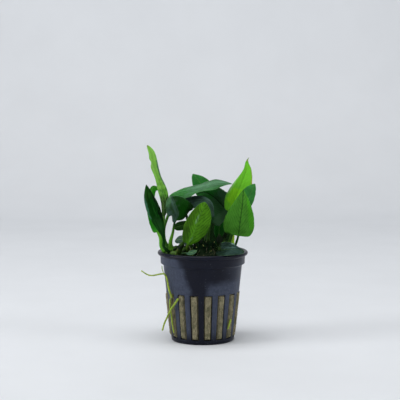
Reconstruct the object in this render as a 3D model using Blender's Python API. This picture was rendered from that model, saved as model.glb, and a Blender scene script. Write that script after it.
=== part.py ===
"""Potted dwarf anubias: a slotted net pot, its rock wool plug, a creeping rhizome, leaves and roots.

The front of the plant faces -Y and +X is to its right. The origin is the centre of the pot's base.
"""
import math

import bmesh
import bpy
import numpy as np

MM = 0.001
GAP = 0.3  # clear gap between touching pieces, mm

# Net pot, mm
POT_HEIGHT = 50.0
RIM_RADIUS = 25.0
LIP_RADIUS = 1.15  # half thickness of the rolled lip
COLLAR_RADIUS = 23.4
COLLAR_BOTTOM = 43.2
WALL_TOP_RADIUS = 21.8
WALL_TOP = 42.2
BASE_RADIUS = 17.3
WALL = 1.2
FLOOR = 1.2
COLLAR_DRAFT = 0.1  # the collar widens by this much at each end
STEP_DEPTH = 0.5  # how far the step inside lies above the step outside
LIP_NECK_INSIDE = 0.6  # height of the bend below the lip
LIP_NECK_OUTSIDE = 0.3
FOOT_BEVEL = 0.5
SLOTS = 16
SLOT_WIDTH = 13.5  # degrees of the turn
SLOT_PHASE = 8.5  # degrees from the front to the nearest slot's middle, towards +X
SLOT_BOTTOM = 2.5
SLOT_TOP = 27.5
BASE_SLOT_INNER = 6.5
BASE_SLOT_OUTER = 13.5
CUT_MARGIN = 1.0  # how far a cutter runs past what it cuts
TURN_STEPS = 48
MERGE_DISTANCE = 0.00001  # metres

# Rock wool plug, mm
WOOL_BOTTOM = FLOOR + GAP
WOOL_TOP = 46.8
WOOL_DOME = 0.3
WOOL_BULGE = 0.6  # how far the wool swells out of a slot
WOOL_SHOULDER = 0.75  # share of the bulge at its shoulders
SHOULDER_TURN = 1.6  # from the slot's side to the shoulder, in side gaps
SIDE_GAP = 1.3 * GAP  # beside the slot's edges
CREST_RISE = 0.3  # height over which the bulge comes out
TOP_SHARES = (1.0, 0.86, 0.68, 0.5, 0.3)  # radii of the rings on the top
TUFT_CENTRE = (2.8, -13.5)
TUFT_HALF = (5.7, 5.6)
TUFT_HEIGHT = 8.6

# Leaves, mm
LEAF_ACROSS = 4  # panels across a blade
STALK_RINGS = 4
STALK_TAPER = 1.5  # power by which a stalk narrows from its foot
BLADE_SHARES = (0.0, 0.03, 0.09, 0.18, 0.30, 0.44, 0.58, 0.72, 0.85, 0.95)
MID_THICKNESS = 0.7
EDGE_THICKNESS = 0.36
THINNING = 0.8  # power by which the blade thins towards its margin
OPENING = 0.08  # share of the blade over which the round stalk opens flat
LOBE_FADE = 0.08  # share of the blade over which the lobes at its base fade
TIP_THICKNESS = 0.35  # share of the thickness left at the very tip
TIP_GROWTH = 3.0  # how fast it is regained away from the tip
RIB_DEPTH = 0.6  # of the midrib below the blade, in stalk radii
RIB_SPREAD = 1.6  # its half width, in stalk radii
RIB_LEAST = 0.3
CURL_SAMPLES = 16
FOOT_GAP = 0.45  # from the rhizome's skin to the foot of a stalk
FOOT_RISE = 1.2  # least length over which a stalk leaves the rhizome squarely
PATH_STEPS = 24  # points on each span of a smooth path
TANGENT_REACH = 2  # points to each side that a path's direction is read over
OUT_OF_STEP = 0.5  # of a wave, by which the two margins of a wavy blade differ

# Tubes
TUBE_SPACING = 2.5  # from point to point, in radii
RHIZOME_ROUNDING = 3  # bevel resolution
ROOT_ROUNDING = 1
BLUNT_END = ((0.9, 0.44), (0.6, 0.8))  # how far out and how thick, in radii, from the end inwards

# Colours of the materials
YOUNG_GREEN = (0.20, 0.40, 0.05)
LEAF_GREEN = (0.06, 0.20, 0.02)
DARK_GREEN = (0.01, 0.07, 0.02)
GREY_GREEN = (0.08, 0.20, 0.09)
POT_COLOUR = (0.012, 0.014, 0.022)
WOOL_COLOUR = (0.11, 0.11, 0.06)
RHIZOME_COLOUR = (0.05, 0.11, 0.02)
ROOT_COLOUR = (0.30, 0.42, 0.12)

# Their roughness
POT_ROUGHNESS = 0.45
WOOL_ROUGHNESS = 0.95
RHIZOME_ROUGHNESS = 0.6
ROOT_ROUGHNESS = 0.5
LEAF_ROUGHNESS = 0.4


def clear_scene():
    for thing in list(bpy.data.objects):
        bpy.data.objects.remove(thing, do_unlink=True)


def make_material(name, colour, roughness):
    material = bpy.data.materials.new(name)
    material.use_nodes = True
    shader = material.node_tree.nodes["Principled BSDF"]
    shader.inputs["Base Color"].default_value = (*colour, 1.0)
    shader.inputs["Roughness"].default_value = roughness
    shader.inputs["Metallic"].default_value = 0.0
    return material


def add_object(name, data, material=None):
    thing = bpy.data.objects.new(name, data)
    if material is not None:
        data.materials.append(material)
    bpy.context.scene.collection.objects.link(thing)
    return thing


def closed_mesh(name, rings, start=None, end=None):
    """Skin over rings of points in mm; each end is closed by a point or by one flat face."""
    bm = bmesh.new()
    loops = [[bm.verts.new(np.asarray(p) * MM) for p in ring] for ring in rings]
    for low, high in zip(loops, loops[1:]):
        for j in range(len(low)):
            k = (j + 1) % len(low)
            bm.faces.new((low[j], low[k], high[k], high[j]))
    for loop, point in ((loops[0], start), (loops[-1], end)):
        if point is None:
            bm.faces.new(loop)
            continue
        centre = bm.verts.new(np.asarray(point) * MM)
        for j in range(len(loop)):
            bm.faces.new((loop[j], loop[(j + 1) % len(loop)], centre))
    bmesh.ops.recalc_face_normals(bm, faces=bm.faces)
    mesh = bpy.data.meshes.new(name)
    bm.to_mesh(mesh)
    bm.free()
    mesh.shade_smooth()
    return mesh


def unit(vector):
    vector = np.asarray(vector, float)
    return vector / np.linalg.norm(vector)


def smooth_path(points):
    """A curve through the points, with tangents weighted by the length of the spans."""
    points = [np.asarray(p, float) for p in points]
    points = [2 * points[0] - points[1]] + points + [2 * points[-1] - points[-2]]
    path = []
    for p0, p1, p2, p3 in zip(points, points[1:], points[2:], points[3:]):
        before, span, after = (np.linalg.norm(b - a) for a, b in ((p0, p1), (p1, p2), (p2, p3)))
        leave = (p2 - p0) * span / (before + span)
        arrive = (p3 - p1) * span / (span + after)
        for t in np.arange(PATH_STEPS) / PATH_STEPS:
            path.append((2 * t**3 - 3 * t**2 + 1) * p1 + (t**3 - 2 * t**2 + t) * leave
                        + (3 * t**2 - 2 * t**3) * p2 + (t**3 - t**2) * arrive)
    path.append(points[-2])
    return np.array(path)


def at_shares(path, shares):
    """Points at the given shares of a path's length, and that length."""
    steps = np.linalg.norm(np.diff(path, axis=0), axis=1)
    run = np.concatenate([[0.0], np.cumsum(steps)])
    where = np.asarray(shares) * run[-1]
    return np.stack([np.interp(where, run, path[:, k]) for k in range(3)], 1), run[-1]


# Net pot


def wall_radius(z):
    """Outer radius of the tapered wall below the collar."""
    return BASE_RADIUS + (WALL_TOP_RADIUS - BASE_RADIUS) * z / WALL_TOP


def slot_angles():
    """Middle of each slot as an angle from +X, turning towards +Y."""
    pitch = 2 * math.pi / SLOTS
    return [math.radians(SLOT_PHASE - 90) + pitch * k for k in range(SLOTS)]


def pot_profile():
    """From the middle of the floor up the inside, over the lip and down the outside, as (r, z)."""
    lip_bottom = POT_HEIGHT - 2 * LIP_RADIUS
    inside = [
        (0.0, FLOOR),
        (wall_radius(FLOOR) - WALL, FLOOR),
        (wall_radius(SLOT_TOP) - WALL, SLOT_TOP),
        (WALL_TOP_RADIUS - WALL, WALL_TOP),
        (COLLAR_RADIUS - WALL, COLLAR_BOTTOM + STEP_DEPTH),
        (COLLAR_RADIUS - WALL + COLLAR_DRAFT, lip_bottom - LIP_NECK_INSIDE),
    ]
    lip = []
    for degrees in (180, 130, 85, 45, 0, -55):
        angle = math.radians(degrees)
        radius = RIM_RADIUS - LIP_RADIUS + LIP_RADIUS * math.cos(angle)
        lip.append((radius, POT_HEIGHT - LIP_RADIUS + LIP_RADIUS * math.sin(angle)))
    outside = [
        (COLLAR_RADIUS + COLLAR_DRAFT, lip_bottom - LIP_NECK_OUTSIDE),
        (COLLAR_RADIUS - COLLAR_DRAFT, COLLAR_BOTTOM),
        (WALL_TOP_RADIUS, WALL_TOP),
        (wall_radius(SLOT_TOP), SLOT_TOP),
        (wall_radius(FOOT_BEVEL), FOOT_BEVEL),
        (BASE_RADIUS - FOOT_BEVEL, 0.0),
        (0.0, 0.0),
    ]
    return inside + lip + outside


def add_cutter(name, wedges):
    """One guide object of closed wedges, each (angle, half width, inner, outer, bottom, top)."""
    bm = bmesh.new()
    for angle, half, inner, outer, bottom, top in wedges:
        corners = []
        for z in (bottom, top):
            for radius, turn in ((inner, -half), (outer, -half), (outer, half), (inner, half)):
                corners.append(bm.verts.new((radius * math.cos(angle + turn) * MM,
                                             radius * math.sin(angle + turn) * MM, z * MM)))
        bm.faces.new(corners[3::-1])
        bm.faces.new(corners[4:])
        for a in range(4):
            b = (a + 1) % 4
            bm.faces.new((corners[a], corners[b], corners[b + 4], corners[a + 4]))
    mesh = bpy.data.meshes.new(name)
    bm.to_mesh(mesh)
    bm.free()
    cutter = add_object(name, mesh)
    cutter.hide_render = True
    cutter.display_type = "WIRE"
    return cutter


def add_pot(material):
    profile = pot_profile()
    mesh = bpy.data.meshes.new("net_pot")
    mesh.from_pydata([(r * MM, 0.0, z * MM) for r, z in profile],
                     [(i, i + 1) for i in range(len(profile) - 1)], [])
    pot = add_object("net_pot", mesh, material)
    screw = pot.modifiers.new("turn", "SCREW")
    screw.steps = TURN_STEPS
    screw.render_steps = TURN_STEPS
    screw.use_merge_vertices = True
    screw.merge_threshold = MERGE_DISTANCE
    half = math.radians(SLOT_WIDTH) / 2
    inner = BASE_RADIUS - WALL - CUT_MARGIN
    walls = [(a, half, inner, RIM_RADIUS, SLOT_BOTTOM, SLOT_TOP) for a in slot_angles()]
    bases = [(a, half, BASE_SLOT_INNER, BASE_SLOT_OUTER, -CUT_MARGIN, FLOOR + CUT_MARGIN)
             for a in slot_angles()[::2]]
    for name, wedges in (("wall_slot_cutter", walls), ("base_slot_cutter", bases)):
        cut = pot.modifiers.new(name, "BOOLEAN")
        cut.operation = "DIFFERENCE"
        cut.solver = "EXACT"
        cut.object = add_cutter(name, wedges)


# Rock wool plug


def wool_height(x, y):
    """Height of the wool's top: a low dome with one flat-topped tuft at the front."""
    edge = (math.hypot(x, y) / COLLAR_RADIUS) ** 2
    across = (x - TUFT_CENTRE[0]) / TUFT_HALF[0]
    deep = (y - TUFT_CENTRE[1]) / TUFT_HALF[1]
    return WOOL_TOP - WOOL_DOME * edge + TUFT_HEIGHT * math.exp(-across**4 - deep**4)


def wool_ring(z, swollen):
    """One level of the plug's side: it fills the wall and swells through the slots."""
    inner = min(wall_radius(z), WALL_TOP_RADIUS) - WALL - GAP
    half = math.radians(SLOT_WIDTH) / 2
    foot = half - SIDE_GAP / inner
    shoulder = half - SHOULDER_TURN * SIDE_GAP / inner
    shape = ((-foot, 0.0), (-shoulder, WOOL_SHOULDER), (0.0, 1.0), (shoulder, WOOL_SHOULDER), (foot, 0.0))
    ring = []
    for angle in slot_angles():
        for turn, out in shape:
            radius = inner + (WALL + GAP + WOOL_BULGE) * out * swollen
            ring.append((radius * math.cos(angle + turn), radius * math.sin(angle + turn), z))
    return ring


def add_wool(material):
    slot_low = SLOT_BOTTOM + GAP
    slot_high = SLOT_TOP - GAP
    rings = [
        wool_ring(WOOL_BOTTOM, 0),
        wool_ring(slot_low, 0),
        wool_ring(slot_low + CREST_RISE, 1),
        wool_ring(slot_high - CREST_RISE, 1),
        wool_ring(slot_high, 0),
    ]
    rim = wool_ring(WALL_TOP, 0)
    for share in TOP_SHARES:
        rings.append([(x * share, y * share, wool_height(x * share, y * share)) for x, y, z in rim])
    bottom = (0.0, 0.0, WOOL_BOTTOM)
    top = (0.0, 0.0, wool_height(0.0, 0.0))
    add_object("rock_wool", closed_mesh("rock_wool", rings, bottom, top), material)


# Leaves: a round stalk that opens into a thin blade, in one skin


def half_width(share, shape):
    """Share of the greatest half width at a share of the blade's length."""
    rise, fall = shape
    if share <= 0.0 or share >= 1.0:
        return 0.0
    peak = rise / (rise + fall)
    return (share / peak) ** rise * ((1 - share) / (1 - peak)) ** fall


def blended_facing(facing, share):
    """Direction that the upper side faces at a share of the blade's length."""
    where = share * (len(facing) - 1)
    i = min(int(where), len(facing) - 2)
    return unit(unit(facing[i]) * (1 - where + i) + unit(facing[i + 1]) * (where - i))


def frame_at(path, point, facing):
    """Tangent, side and upward directions on a path, the last one nearest to facing."""
    i = int(np.argmin(((path - point) ** 2).sum(1)))
    tangent = unit(path[min(i + TANGENT_REACH, len(path) - 1)] - path[max(i - TANGENT_REACH, 0)])
    up = unit(facing - tangent * np.dot(facing, tangent))
    return tangent, np.cross(tangent, up), up


def stalk_ring(path, point, facing, radius, across):
    tangent, side, up = frame_at(path, point, facing)
    angles = [math.pi - math.pi * j / across for j in range(2 * across)]
    return [point + side * radius * math.cos(a) + up * radius * math.sin(a) for a in angles]


def blade_thickness(v, share):
    """Half the thickness at v across the blade (0 at the midrib, 1 at the margin)."""
    thickness = EDGE_THICKNESS + (MID_THICKNESS - EDGE_THICKNESS) * (1 - v) ** THINNING
    return thickness / 2 * min(1, TIP_THICKNESS + TIP_GROWTH * (1 - share))


def blade_ring(path, point, share, length, plan, across):
    """One section of the blade: its upper side from left to right, then back along its underside."""
    tangent, side, up = frame_at(path, point, blended_facing(plan["facing"], share))
    stalk = plan["stalk_radius"][1] * (1 - share)
    rounded = max(0.0, 1 - share / OPENING)
    opened = 1 - rounded**2
    swell, turns, phase = plan["wave"]
    top = []
    under = []
    for j in range(across + 1):
        v = 2 * j / across - 1
        half = 0 if v < 0 else 1
        greatest = plan["half"][half]
        width = max(half_width(share, plan["shape"][half]) * greatest, stalk)
        spread = np.linspace(0, abs(v), CURL_SAMPLES)
        slope = np.radians((plan["fold"][half] + plan["curl"][half] * spread) * opened)
        flat = math.copysign(np.trapz(np.cos(slope), spread), v) * width
        rise = np.trapz(np.sin(slope), spread) * width
        out = flat * (1 - rounded) - rounded * width * math.cos(math.pi * j / across)
        lobe = plan["lobe"] * length * v * v * math.exp(-share / LOBE_FADE) * opened
        turn = turns * share + phase + OUT_OF_STEP * (1 - half)
        ripple = swell[half] * v * v * math.sin(2 * math.pi * turn)
        place = point + side * out + up * (rise + ripple * min(1, width / greatest)) - tangent * lobe
        round_height = rounded * stalk * math.sin(math.pi * j / across)
        thin = blade_thickness(abs(v), share)
        rib = RIB_DEPTH * stalk * max(0.0, 1 - abs(v) * width / max(RIB_SPREAD * stalk, RIB_LEAST))
        top.append(place + up * (round_height + (1 - rounded) * thin))
        under.append(place - up * (round_height + (1 - rounded) * (thin + rib)))
    return top + under[-2:0:-1]


def rooted(stalk):
    """The stalk's points, after a foot that stands squarely on the rhizome nearest to the first of them."""
    start_radius, end_radius, points = RHIZOME
    axis = smooth_path(points)
    distances = np.linalg.norm(axis - stalk[0], axis=1)
    i = int(np.argmin(distances))
    direction = unit(stalk[0] - axis[i])
    foot = start_radius + (end_radius - start_radius) * i / len(axis) + FOOT_GAP
    first = max(distances[i], foot + FOOT_RISE)
    return [axis[i] + direction * foot, axis[i] + direction * first] + stalk[1:]


def leaf_mesh(name, plan):
    """Loft one leaf along its stalk and its midrib."""
    stalk = rooted(plan["stalk"])
    path = smooth_path(stalk + plan["blade"])
    joint = len(stalk) * PATH_STEPS
    stalk, _ = at_shares(path[:joint + 1], np.arange(STALK_RINGS) / STALK_RINGS)
    blade, length = at_shares(path[joint:], BLADE_SHARES)
    foot_radius, top_radius = plan["stalk_radius"]
    rings = []
    for i, point in enumerate(stalk):
        radius = top_radius + (foot_radius - top_radius) * (1 - i / STALK_RINGS) ** STALK_TAPER
        rings.append(stalk_ring(path, point, unit(plan["facing"][0]), radius, LEAF_ACROSS))
    for share, point in zip(BLADE_SHARES, blade):
        rings.append(blade_ring(path, point, share, length, plan, LEAF_ACROSS))
    return closed_mesh(name, rings, path[0], path[-1])


def leaf(stalk, blade, facing, half, shape=(0.55, 1.0), other_shape=None, fold=(0, 0), curl=(0, 0),
         lobe=0.1, wave=((0, 0), 1, 0), stalk_radius=(1.1, 0.7), colour=LEAF_GREEN):
    """A leaf by its stalk and midrib points (mm), the way its upper side faces and its two half widths.

    Seen from the upper side with the tip up, the first of each pair is the left half. A shape is a pair of
    powers for the rise from the stalk and the fall to the tip. Fold and curl are in degrees, at the midrib
    and more towards the margin. A wave is its two heights at the margins, its number of waves and its phase.
    """
    return dict(stalk=stalk, blade=blade, facing=facing, half=half, shape=(shape, other_shape or shape),
                fold=fold, curl=curl, lobe=lobe, wave=wave, stalk_radius=stalk_radius, colour=colour)


LEAVES = {
    # A tall young leaf, still half rolled, leaning out over the left of the rim
    "leaf_left_tall": leaf(
        stalk=[(-18.0, -1.8, 51.0), (-20.8, -0.6, 55.8), (-21.0, 0.0, 62.5)],
        blade=[(-21.3, 0.0, 69.1), (-21.1, 0.0, 76.4), (-22.9, 1.0, 83.5), (-25.6, 1.0, 91.8),
               (-27.4, 0.0, 98.5), (-28.7, -0.5, 104.1), (-30.7, -1.0, 108.4)],
        facing=[(0.3, -1, 0.2), (0.2, -1, 0.1), (0.3, -1, 0)],
        half=(2.6, 3.3), shape=(0.35, 0.3), other_shape=(0.6, 0.5), fold=(20, 20), curl=(20, 20), lobe=0.03,
        colour=YOUNG_GREEN),
    "leaf_left_front": leaf(
        stalk=[(-19.7, -8.9, 51.2), (-21.5, -9.2, 53.6)],
        blade=[(-21.3, -9.5, 56.7), (-23.9, -10.5, 63.2), (-27.7, -11.5, 72.1), (-29.9, -12.0, 79.8),
               (-30.8, -12.0, 87.8)],
        facing=[(0.1, -1, 0.3), (-0.15, -1, 0.2)],
        half=(3.0, 5.2), shape=(1.2, 0.9), other_shape=(1.05, 0.9), fold=(35, 10), curl=(10, 0), lobe=0.02,
        stalk_radius=(0.9, 0.7), colour=DARK_GREEN),
    # Behind the one in front of it; its tip bends over to the right
    "leaf_left_rear": leaf(
        stalk=[(-21.0, -4.6, 50.7), (-23.1, -4.0, 53.2), (-23.7, -2.4, 57.0)],
        blade=[(-25.2, 0.0, 60.6), (-27.3, 2.0, 68.4), (-28.8, 3.0, 76.0), (-28.2, 4.0, 82.9),
               (-24.0, 5.0, 82.0)],
        facing=[(0, -1, 0.2), (0, -1, 0.1)],
        half=(3.2, 2.0), shape=(0.2, 0.3), other_shape=(0.45, 0.5), lobe=0.03, stalk_radius=(1.1, 0.8)),
    # Broad and folded along its midrib, its tip arching away to the rear
    "leaf_left_folded": leaf(
        stalk=[(-16.6, -7.2, 52.2), (-17.4, -9.0, 55.6), (-16.7, -10.5, 61.5)],
        blade=[(-15.4, -11.5, 66.9), (-13.8, -13.5, 71.8), (-14.6, -13.0, 76.7), (-16.1, -10.0, 79.3),
               (-17.2, -5.5, 79.7)],
        facing=[(0.1, -1, 0.3), (0, -0.9, 0.6), (0, -0.4, 1)],
        half=(6.0, 11.6), shape=(0.8, 0.7), other_shape=(0.85, 0.8), fold=(8, -22), curl=(0, -10),
        wave=((0, 1.2), 1.1, 0.37),
        stalk_radius=(1.4, 0.65), colour=DARK_GREEN),
    # The long leaf that crosses the top of the plant, nearly level, with a wavy margin
    "leaf_top_long": leaf(
        stalk=[(-18.0, -4.6, 52.4), (-21.0, -5.0, 56.9), (-21.0, -5.2, 63.6), (-18.7, -4.2, 71.3)],
        blade=[(-17.7, -2.0, 79.9), (-13.1, -1.0, 81.8), (-6.5, -1.0, 82.7), (1.2, -1.0, 85.2),
               (8.4, 0.0, 87.2), (16.5, 1.0, 87.0)],
        facing=[(-0.4, -1, 0.6), (0, -0.42, 0.94), (0, -0.38, 0.94), (0, -0.42, 0.94)],
        half=(6.3, 6.4), shape=(0.78, 0.55), other_shape=(0.75, 0.9), curl=(-5, -5),
        wave=((0.5, 1.2), 1.85, 0.38),
        stalk_radius=(1.1, 0.65), colour=GREY_GREEN),
    "leaf_top_rear": leaf(
        stalk=[(2.9, 4.5, 51.5), (3.5, 7.0, 63.3), (4.1, 9.0, 71.5)],
        blade=[(4.1, 10.0, 75.9), (1.6, 11.0, 81.4), (-2.0, 12.0, 86.6), (-5.7, 13.0, 91.2)],
        facing=[(0, -1, 0.5), (0, -1, 0.5)],
        half=(4.4, 4.7), shape=(0.5, 0.65), other_shape=(0.5, 0.6)),
    # Arches over to the right with its tip hanging down
    "leaf_centre_arched": leaf(
        stalk=[(-6.4, -5.6, 52.6), (-6.8, -2.0, 59.4), (-8.4, -1.5, 67.1), (-9.6, -1.5, 72.1)],
        blade=[(-10.0, -1.8, 75.5), (-5.9, -2.6, 77.1), (-1.0, -5.8, 78.0), (3.2, -9.5, 76.3),
               (6.0, -10.5, 69.8)],
        facing=[(0, -1, 0.6), (0.1, -1, 0.7), (0.7, -0.8, 0.4)],
        half=(3.5, 4.7), shape=(0.5, 0.6), stalk_radius=(1.1, 0.65), colour=DARK_GREEN),
    # The broadest leaf, seen from above its stalk, pointing left
    "leaf_centre_broad": leaf(
        stalk=[(13.6, 4.2, 52.3), (14.6, 6.0, 57.2), (16.1, 6.5, 62.8)],
        blade=[(16.2, 6.0, 67.9), (10.7, 5.5, 74.7), (5.7, 5.5, 79.4), (0.7, 6.5, 81.6), (-3.6, 8.5, 80.1)],
        facing=[(-0.2, -1, 0.4), (0, -1, 0.5), (0, -0.8, 0.7)],
        half=(11.5, 6.8), shape=(0.3, 0.9), other_shape=(0.5, 0.8), fold=(4, 8), curl=(10, 0), lobe=0.12,
        colour=DARK_GREEN),
    # Upright at the front, showing its underside
    "leaf_front_centre": leaf(
        stalk=[(-8.9, -11.6, 51.4), (-8.5, -13.2, 53.4)],
        blade=[(-7.9, -14.0, 55.5), (-5.0, -15.5, 61.6), (-1.8, -16.5, 69.9), (1.2, -16.0, 78.6)],
        facing=[(0.05, 1, 0), (0, 1, 0.1)],
        half=(7.0, 6.0), shape=(0.75, 0.7), other_shape=(0.45, 0.75), curl=(10, 5), stalk_radius=(1.3, 0.8)),
    # Upright at the front right, broad at its base, showing its underside
    "leaf_front_right": leaf(
        stalk=[(17.2, -3.4, 51.6), (18.6, -5.5, 55.4)],
        blade=[(19.5, -7.0, 59.1), (20.4, -9.0, 66.9), (21.6, -9.5, 76.3), (22.2, -8.0, 84.7)],
        facing=[(0, 1, 0), (0, 1, 0.1)],
        half=(8.2, 9.0), shape=(0.28, 0.95), curl=(14, 8), lobe=0.06, stalk_radius=(0.85, 0.6)),
    # The tallest leaf at the right, young, narrowing to a dry tip
    "leaf_right_upright": leaf(
        stalk=[(16.4, 2.0, 51.8), (16.7, 3.0, 56.5), (17.0, 2.5, 64.4)],
        blade=[(16.0, 2.5, 71.6), (17.5, 2.5, 77.8), (21.2, 3.0, 86.6), (24.3, 3.0, 93.9),
               (25.1, 3.0, 100.7)],
        facing=[(-0.2, -1, 0.3), (0, -1, 0.1)],
        half=(5.4, 6.6), shape=(0.42, 1.5), other_shape=(0.42, 1.3), fold=(14, 0), lobe=0.05,
        colour=YOUNG_GREEN),
    "leaf_right_rear": leaf(
        stalk=[(14.6, -0.4, 51.9), (15.4, -0.8, 56.9), (19.5, -1.5, 67.1)],
        blade=[(22.2, -2.5, 72.2), (24.4, -2.8, 77.2), (26.6, -2.0, 82.4), (28.8, -0.5, 87.1)],
        facing=[(0, -1, 0.4), (0, -1, 0.4)],
        half=(5.4, 3.2), shape=(0.5, 0.75), stalk_radius=(1.0, 0.65)),
    # Lies over the front right of the rim
    "leaf_low_right": leaf(
        stalk=[(9.2, -8.0, 52.4), (8.9, -12.6, 53.0)],
        blade=[(9.7, -16.0, 52.5), (13.1, -19.4, 53.3), (17.4, -20.2, 53.2), (22.7, -16.2, 51.6)],
        facing=[(0, -0.7, 0.7), (0.1, -0.7, 0.75)],
        half=(7.0, 4.6), shape=(0.12, 1.1), other_shape=(0.35, 0.8), lobe=0.08, stalk_radius=(0.9, 0.6),
        colour=GREY_GREEN),
    "leaf_low_left": leaf(
        stalk=[(-4.4, -1.6, 52.0), (-6.3, 4.0, 52.0)],
        blade=[(-7.7, 6.0, 53.0), (-10.2, 6.0, 54.7), (-12.7, 7.0, 55.2), (-15.5, 8.0, 54.3)],
        facing=[(0, -0.6, 1), (0, -0.6, 1)],
        half=(4.0, 4.0), shape=(0.5, 0.5), stalk_radius=(0.8, 0.6), colour=GREY_GREEN),
    "leaf_left_low": leaf(
        stalk=[(-2.8, -5.2, 52.6), (-4.0, -4.0, 57.0)],
        blade=[(-6.0, -4.0, 62.6), (-9.2, -4.4, 64.4), (-12.5, -5.2, 64.2), (-15.7, -6.0, 63.0)],
        facing=[(-0.3, -1, 0.6), (0, -1, 0.6)],
        half=(3.0, 2.8), shape=(0.4, 0.4), stalk_radius=(0.9, 0.6), colour=DARK_GREEN),
    # A small leaf lying against the front of the rim
    "leaf_rim": leaf(
        stalk=[(-11.2, -14.6, 50.2), (-9.9, -18.0, 50.9)],
        blade=[(-8.4, -20.2, 51.2), (-6.1, -21.3, 51.6), (-3.1, -20.6, 52.8)],
        facing=[(0, -0.6, 1), (0, -0.6, 1)],
        half=(2.0, 1.9), shape=(0.5, 0.7), stalk_radius=(0.7, 0.55), colour=GREY_GREEN),
    "leaf_centre_rear": leaf(
        stalk=[(7.2, 2.4, 52.0), (7.6, 6.0, 53.8)],
        blade=[(8.6, 8.0, 56.1), (9.1, 9.0, 59.1), (9.7, 10.0, 63.5), (10.3, 11.0, 68.4)],
        facing=[(0, -1, 0.3), (0, -1, 0.3)],
        half=(3.0, 3.0), stalk_radius=(0.9, 0.6)),
    # The rear of the plant
    "leaf_back_tall": leaf(
        stalk=[(0.4, 3.4, 51.6), (0.6, 8.6, 51.2)],
        blade=[(0.8, 12.0, 52.6), (2.4, 15.5, 62.5), (3.6, 18.5, 73.0)],
        facing=[(0.1, -1, 1.2), (0, -1, 1.6)],
        half=(6.6, 7.0), shape=(0.7, 0.9), other_shape=(0.3, 0.9)),
    "leaf_back_right": leaf(
        stalk=[(11.2, 5.7, 51.4), (15.4, 11.6, 53.8)],
        blade=[(17.7, 15.0, 58.9), (20.0, 18.0, 67.1), (21.1, 19.0, 74.4)],
        facing=[(0.1, -1, 1.2), (0, -1, 1.6)],
        half=(7.0, 7.0), shape=(0.5, 0.9)),
    "leaf_back_left": leaf(
        stalk=[(-2.6, 2.6, 51.6), (-3.2, 11.0, 52.6)],
        blade=[(-3.8, 17.0, 55.8), (-3.8, 20.0, 60.0), (-3.2, 23.0, 63.6)],
        facing=[(0.1, -0.5, 1.2), (0, -0.6, 1.6)],
        half=(5.0, 5.0), shape=(0.5, 0.9)),
    "leaf_back_centre": leaf(
        stalk=[(8.0, 5.6, 51.6), (8.2, 11.0, 51.2)],
        blade=[(8.5, 14.5, 52.6), (10.2, 18.5, 60.5), (12.0, 21.0, 68.0)],
        facing=[(0, -1, 1.2), (0, -1, 1.6)],
        half=(6.5, 5.8), shape=(0.3, 0.9)),
}


# Rhizome and roots: tapered round tubes

# The rhizome creeps over the plug from its tip at the left: its radii at both ends and its points, mm
RHIZOME = (2.0, 1.8, [(-18.8, -4.9, 49.4), (-16.0, -7.6, 49.5), (-12.3, -9.3, 49.3), (-6.0, -8.0, 49.4),
                      (-1.0, -3.6, 49.6), (4.0, 0.0, 49.6), (9.5, 2.0, 49.6), (14.0, 1.6, 49.4),
                      (17.0, -0.6, 49.0)])

# Each root: the radii at its start and its tip, and its points, mm
ROOTS = {
    # Leaves a slot at the left front, climbs the wall and curls out to the left
    "root_left_curl": (0.6, 0.35, [(-17.0, -12.4, 25.8), (-17.9, -12.5, 28.2), (-18.9, -12.0, 31.8),
                                   (-19.5, -10.8, 35.0), (-20.9, -8.4, 37.8), (-23.2, -6.4, 37.7),
                                   (-27.4, -5.0, 36.7), (-30.2, -5.0, 37.0), (-33.8, -5.0, 39.2)]),
    "root_front_cross": (0.6, 0.45, [(-13.6, -16.6, 25.4), (-15.4, -15.1, 22.4), (-17.3, -13.4, 19.4),
                                     (-19.4, -11.6, 14.8), (-21.2, -10.2, 10.6), (-22.2, -9.6, 7.0)]),
    "root_front_down": (0.5, 0.4, [(-17.9, -11.8, 24.4), (-17.9, -11.5, 20.0), (-17.2, -11.3, 15.0),
                                   (-16.7, -11.1, 10.5), (-15.9, -11.1, 6.0)]),
    "root_right_low": (0.5, 0.4, [(15.2, -12.8, 13.2), (14.5, -13.3, 10.8), (13.8, -13.2, 8.6)]),
}


def blunt_ends(route, radii):
    """Carry a tube past both its ends with points that round them off."""
    for _ in range(2):
        out = unit(route[0] - route[1]) * radii[0]
        route = np.vstack([[route[0] + out * reach for reach, thick in BLUNT_END], route])
        radii = np.concatenate([[radii[0] * thick for reach, thick in BLUNT_END], radii])
        route = route[::-1]
        radii = radii[::-1]
    return route, radii


def add_tube(name, start_radius, end_radius, points, rounding, material, blunt=False):
    """A round tube along a smooth curve, with flat or blunt ends."""
    path = smooth_path(points)
    _, length = at_shares(path, (0, 1))
    count = int(length / (TUBE_SPACING * start_radius)) + 2
    route, _ = at_shares(path, np.linspace(0, 1, count))
    radii = np.linspace(start_radius, end_radius, count)
    if blunt:
        route, radii = blunt_ends(route, radii)
    curve = bpy.data.curves.new(name, "CURVE")
    curve.dimensions = "3D"
    curve.bevel_depth = MM
    curve.bevel_resolution = rounding
    curve.use_fill_caps = True
    spline = curve.splines.new("POLY")
    spline.points.add(len(route) - 1)
    for end, point, radius in zip(spline.points, route, radii):
        end.co = (*(point * MM), 1.0)
        end.radius = radius
    spline.use_smooth = True
    add_object(name, curve, material)


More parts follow.
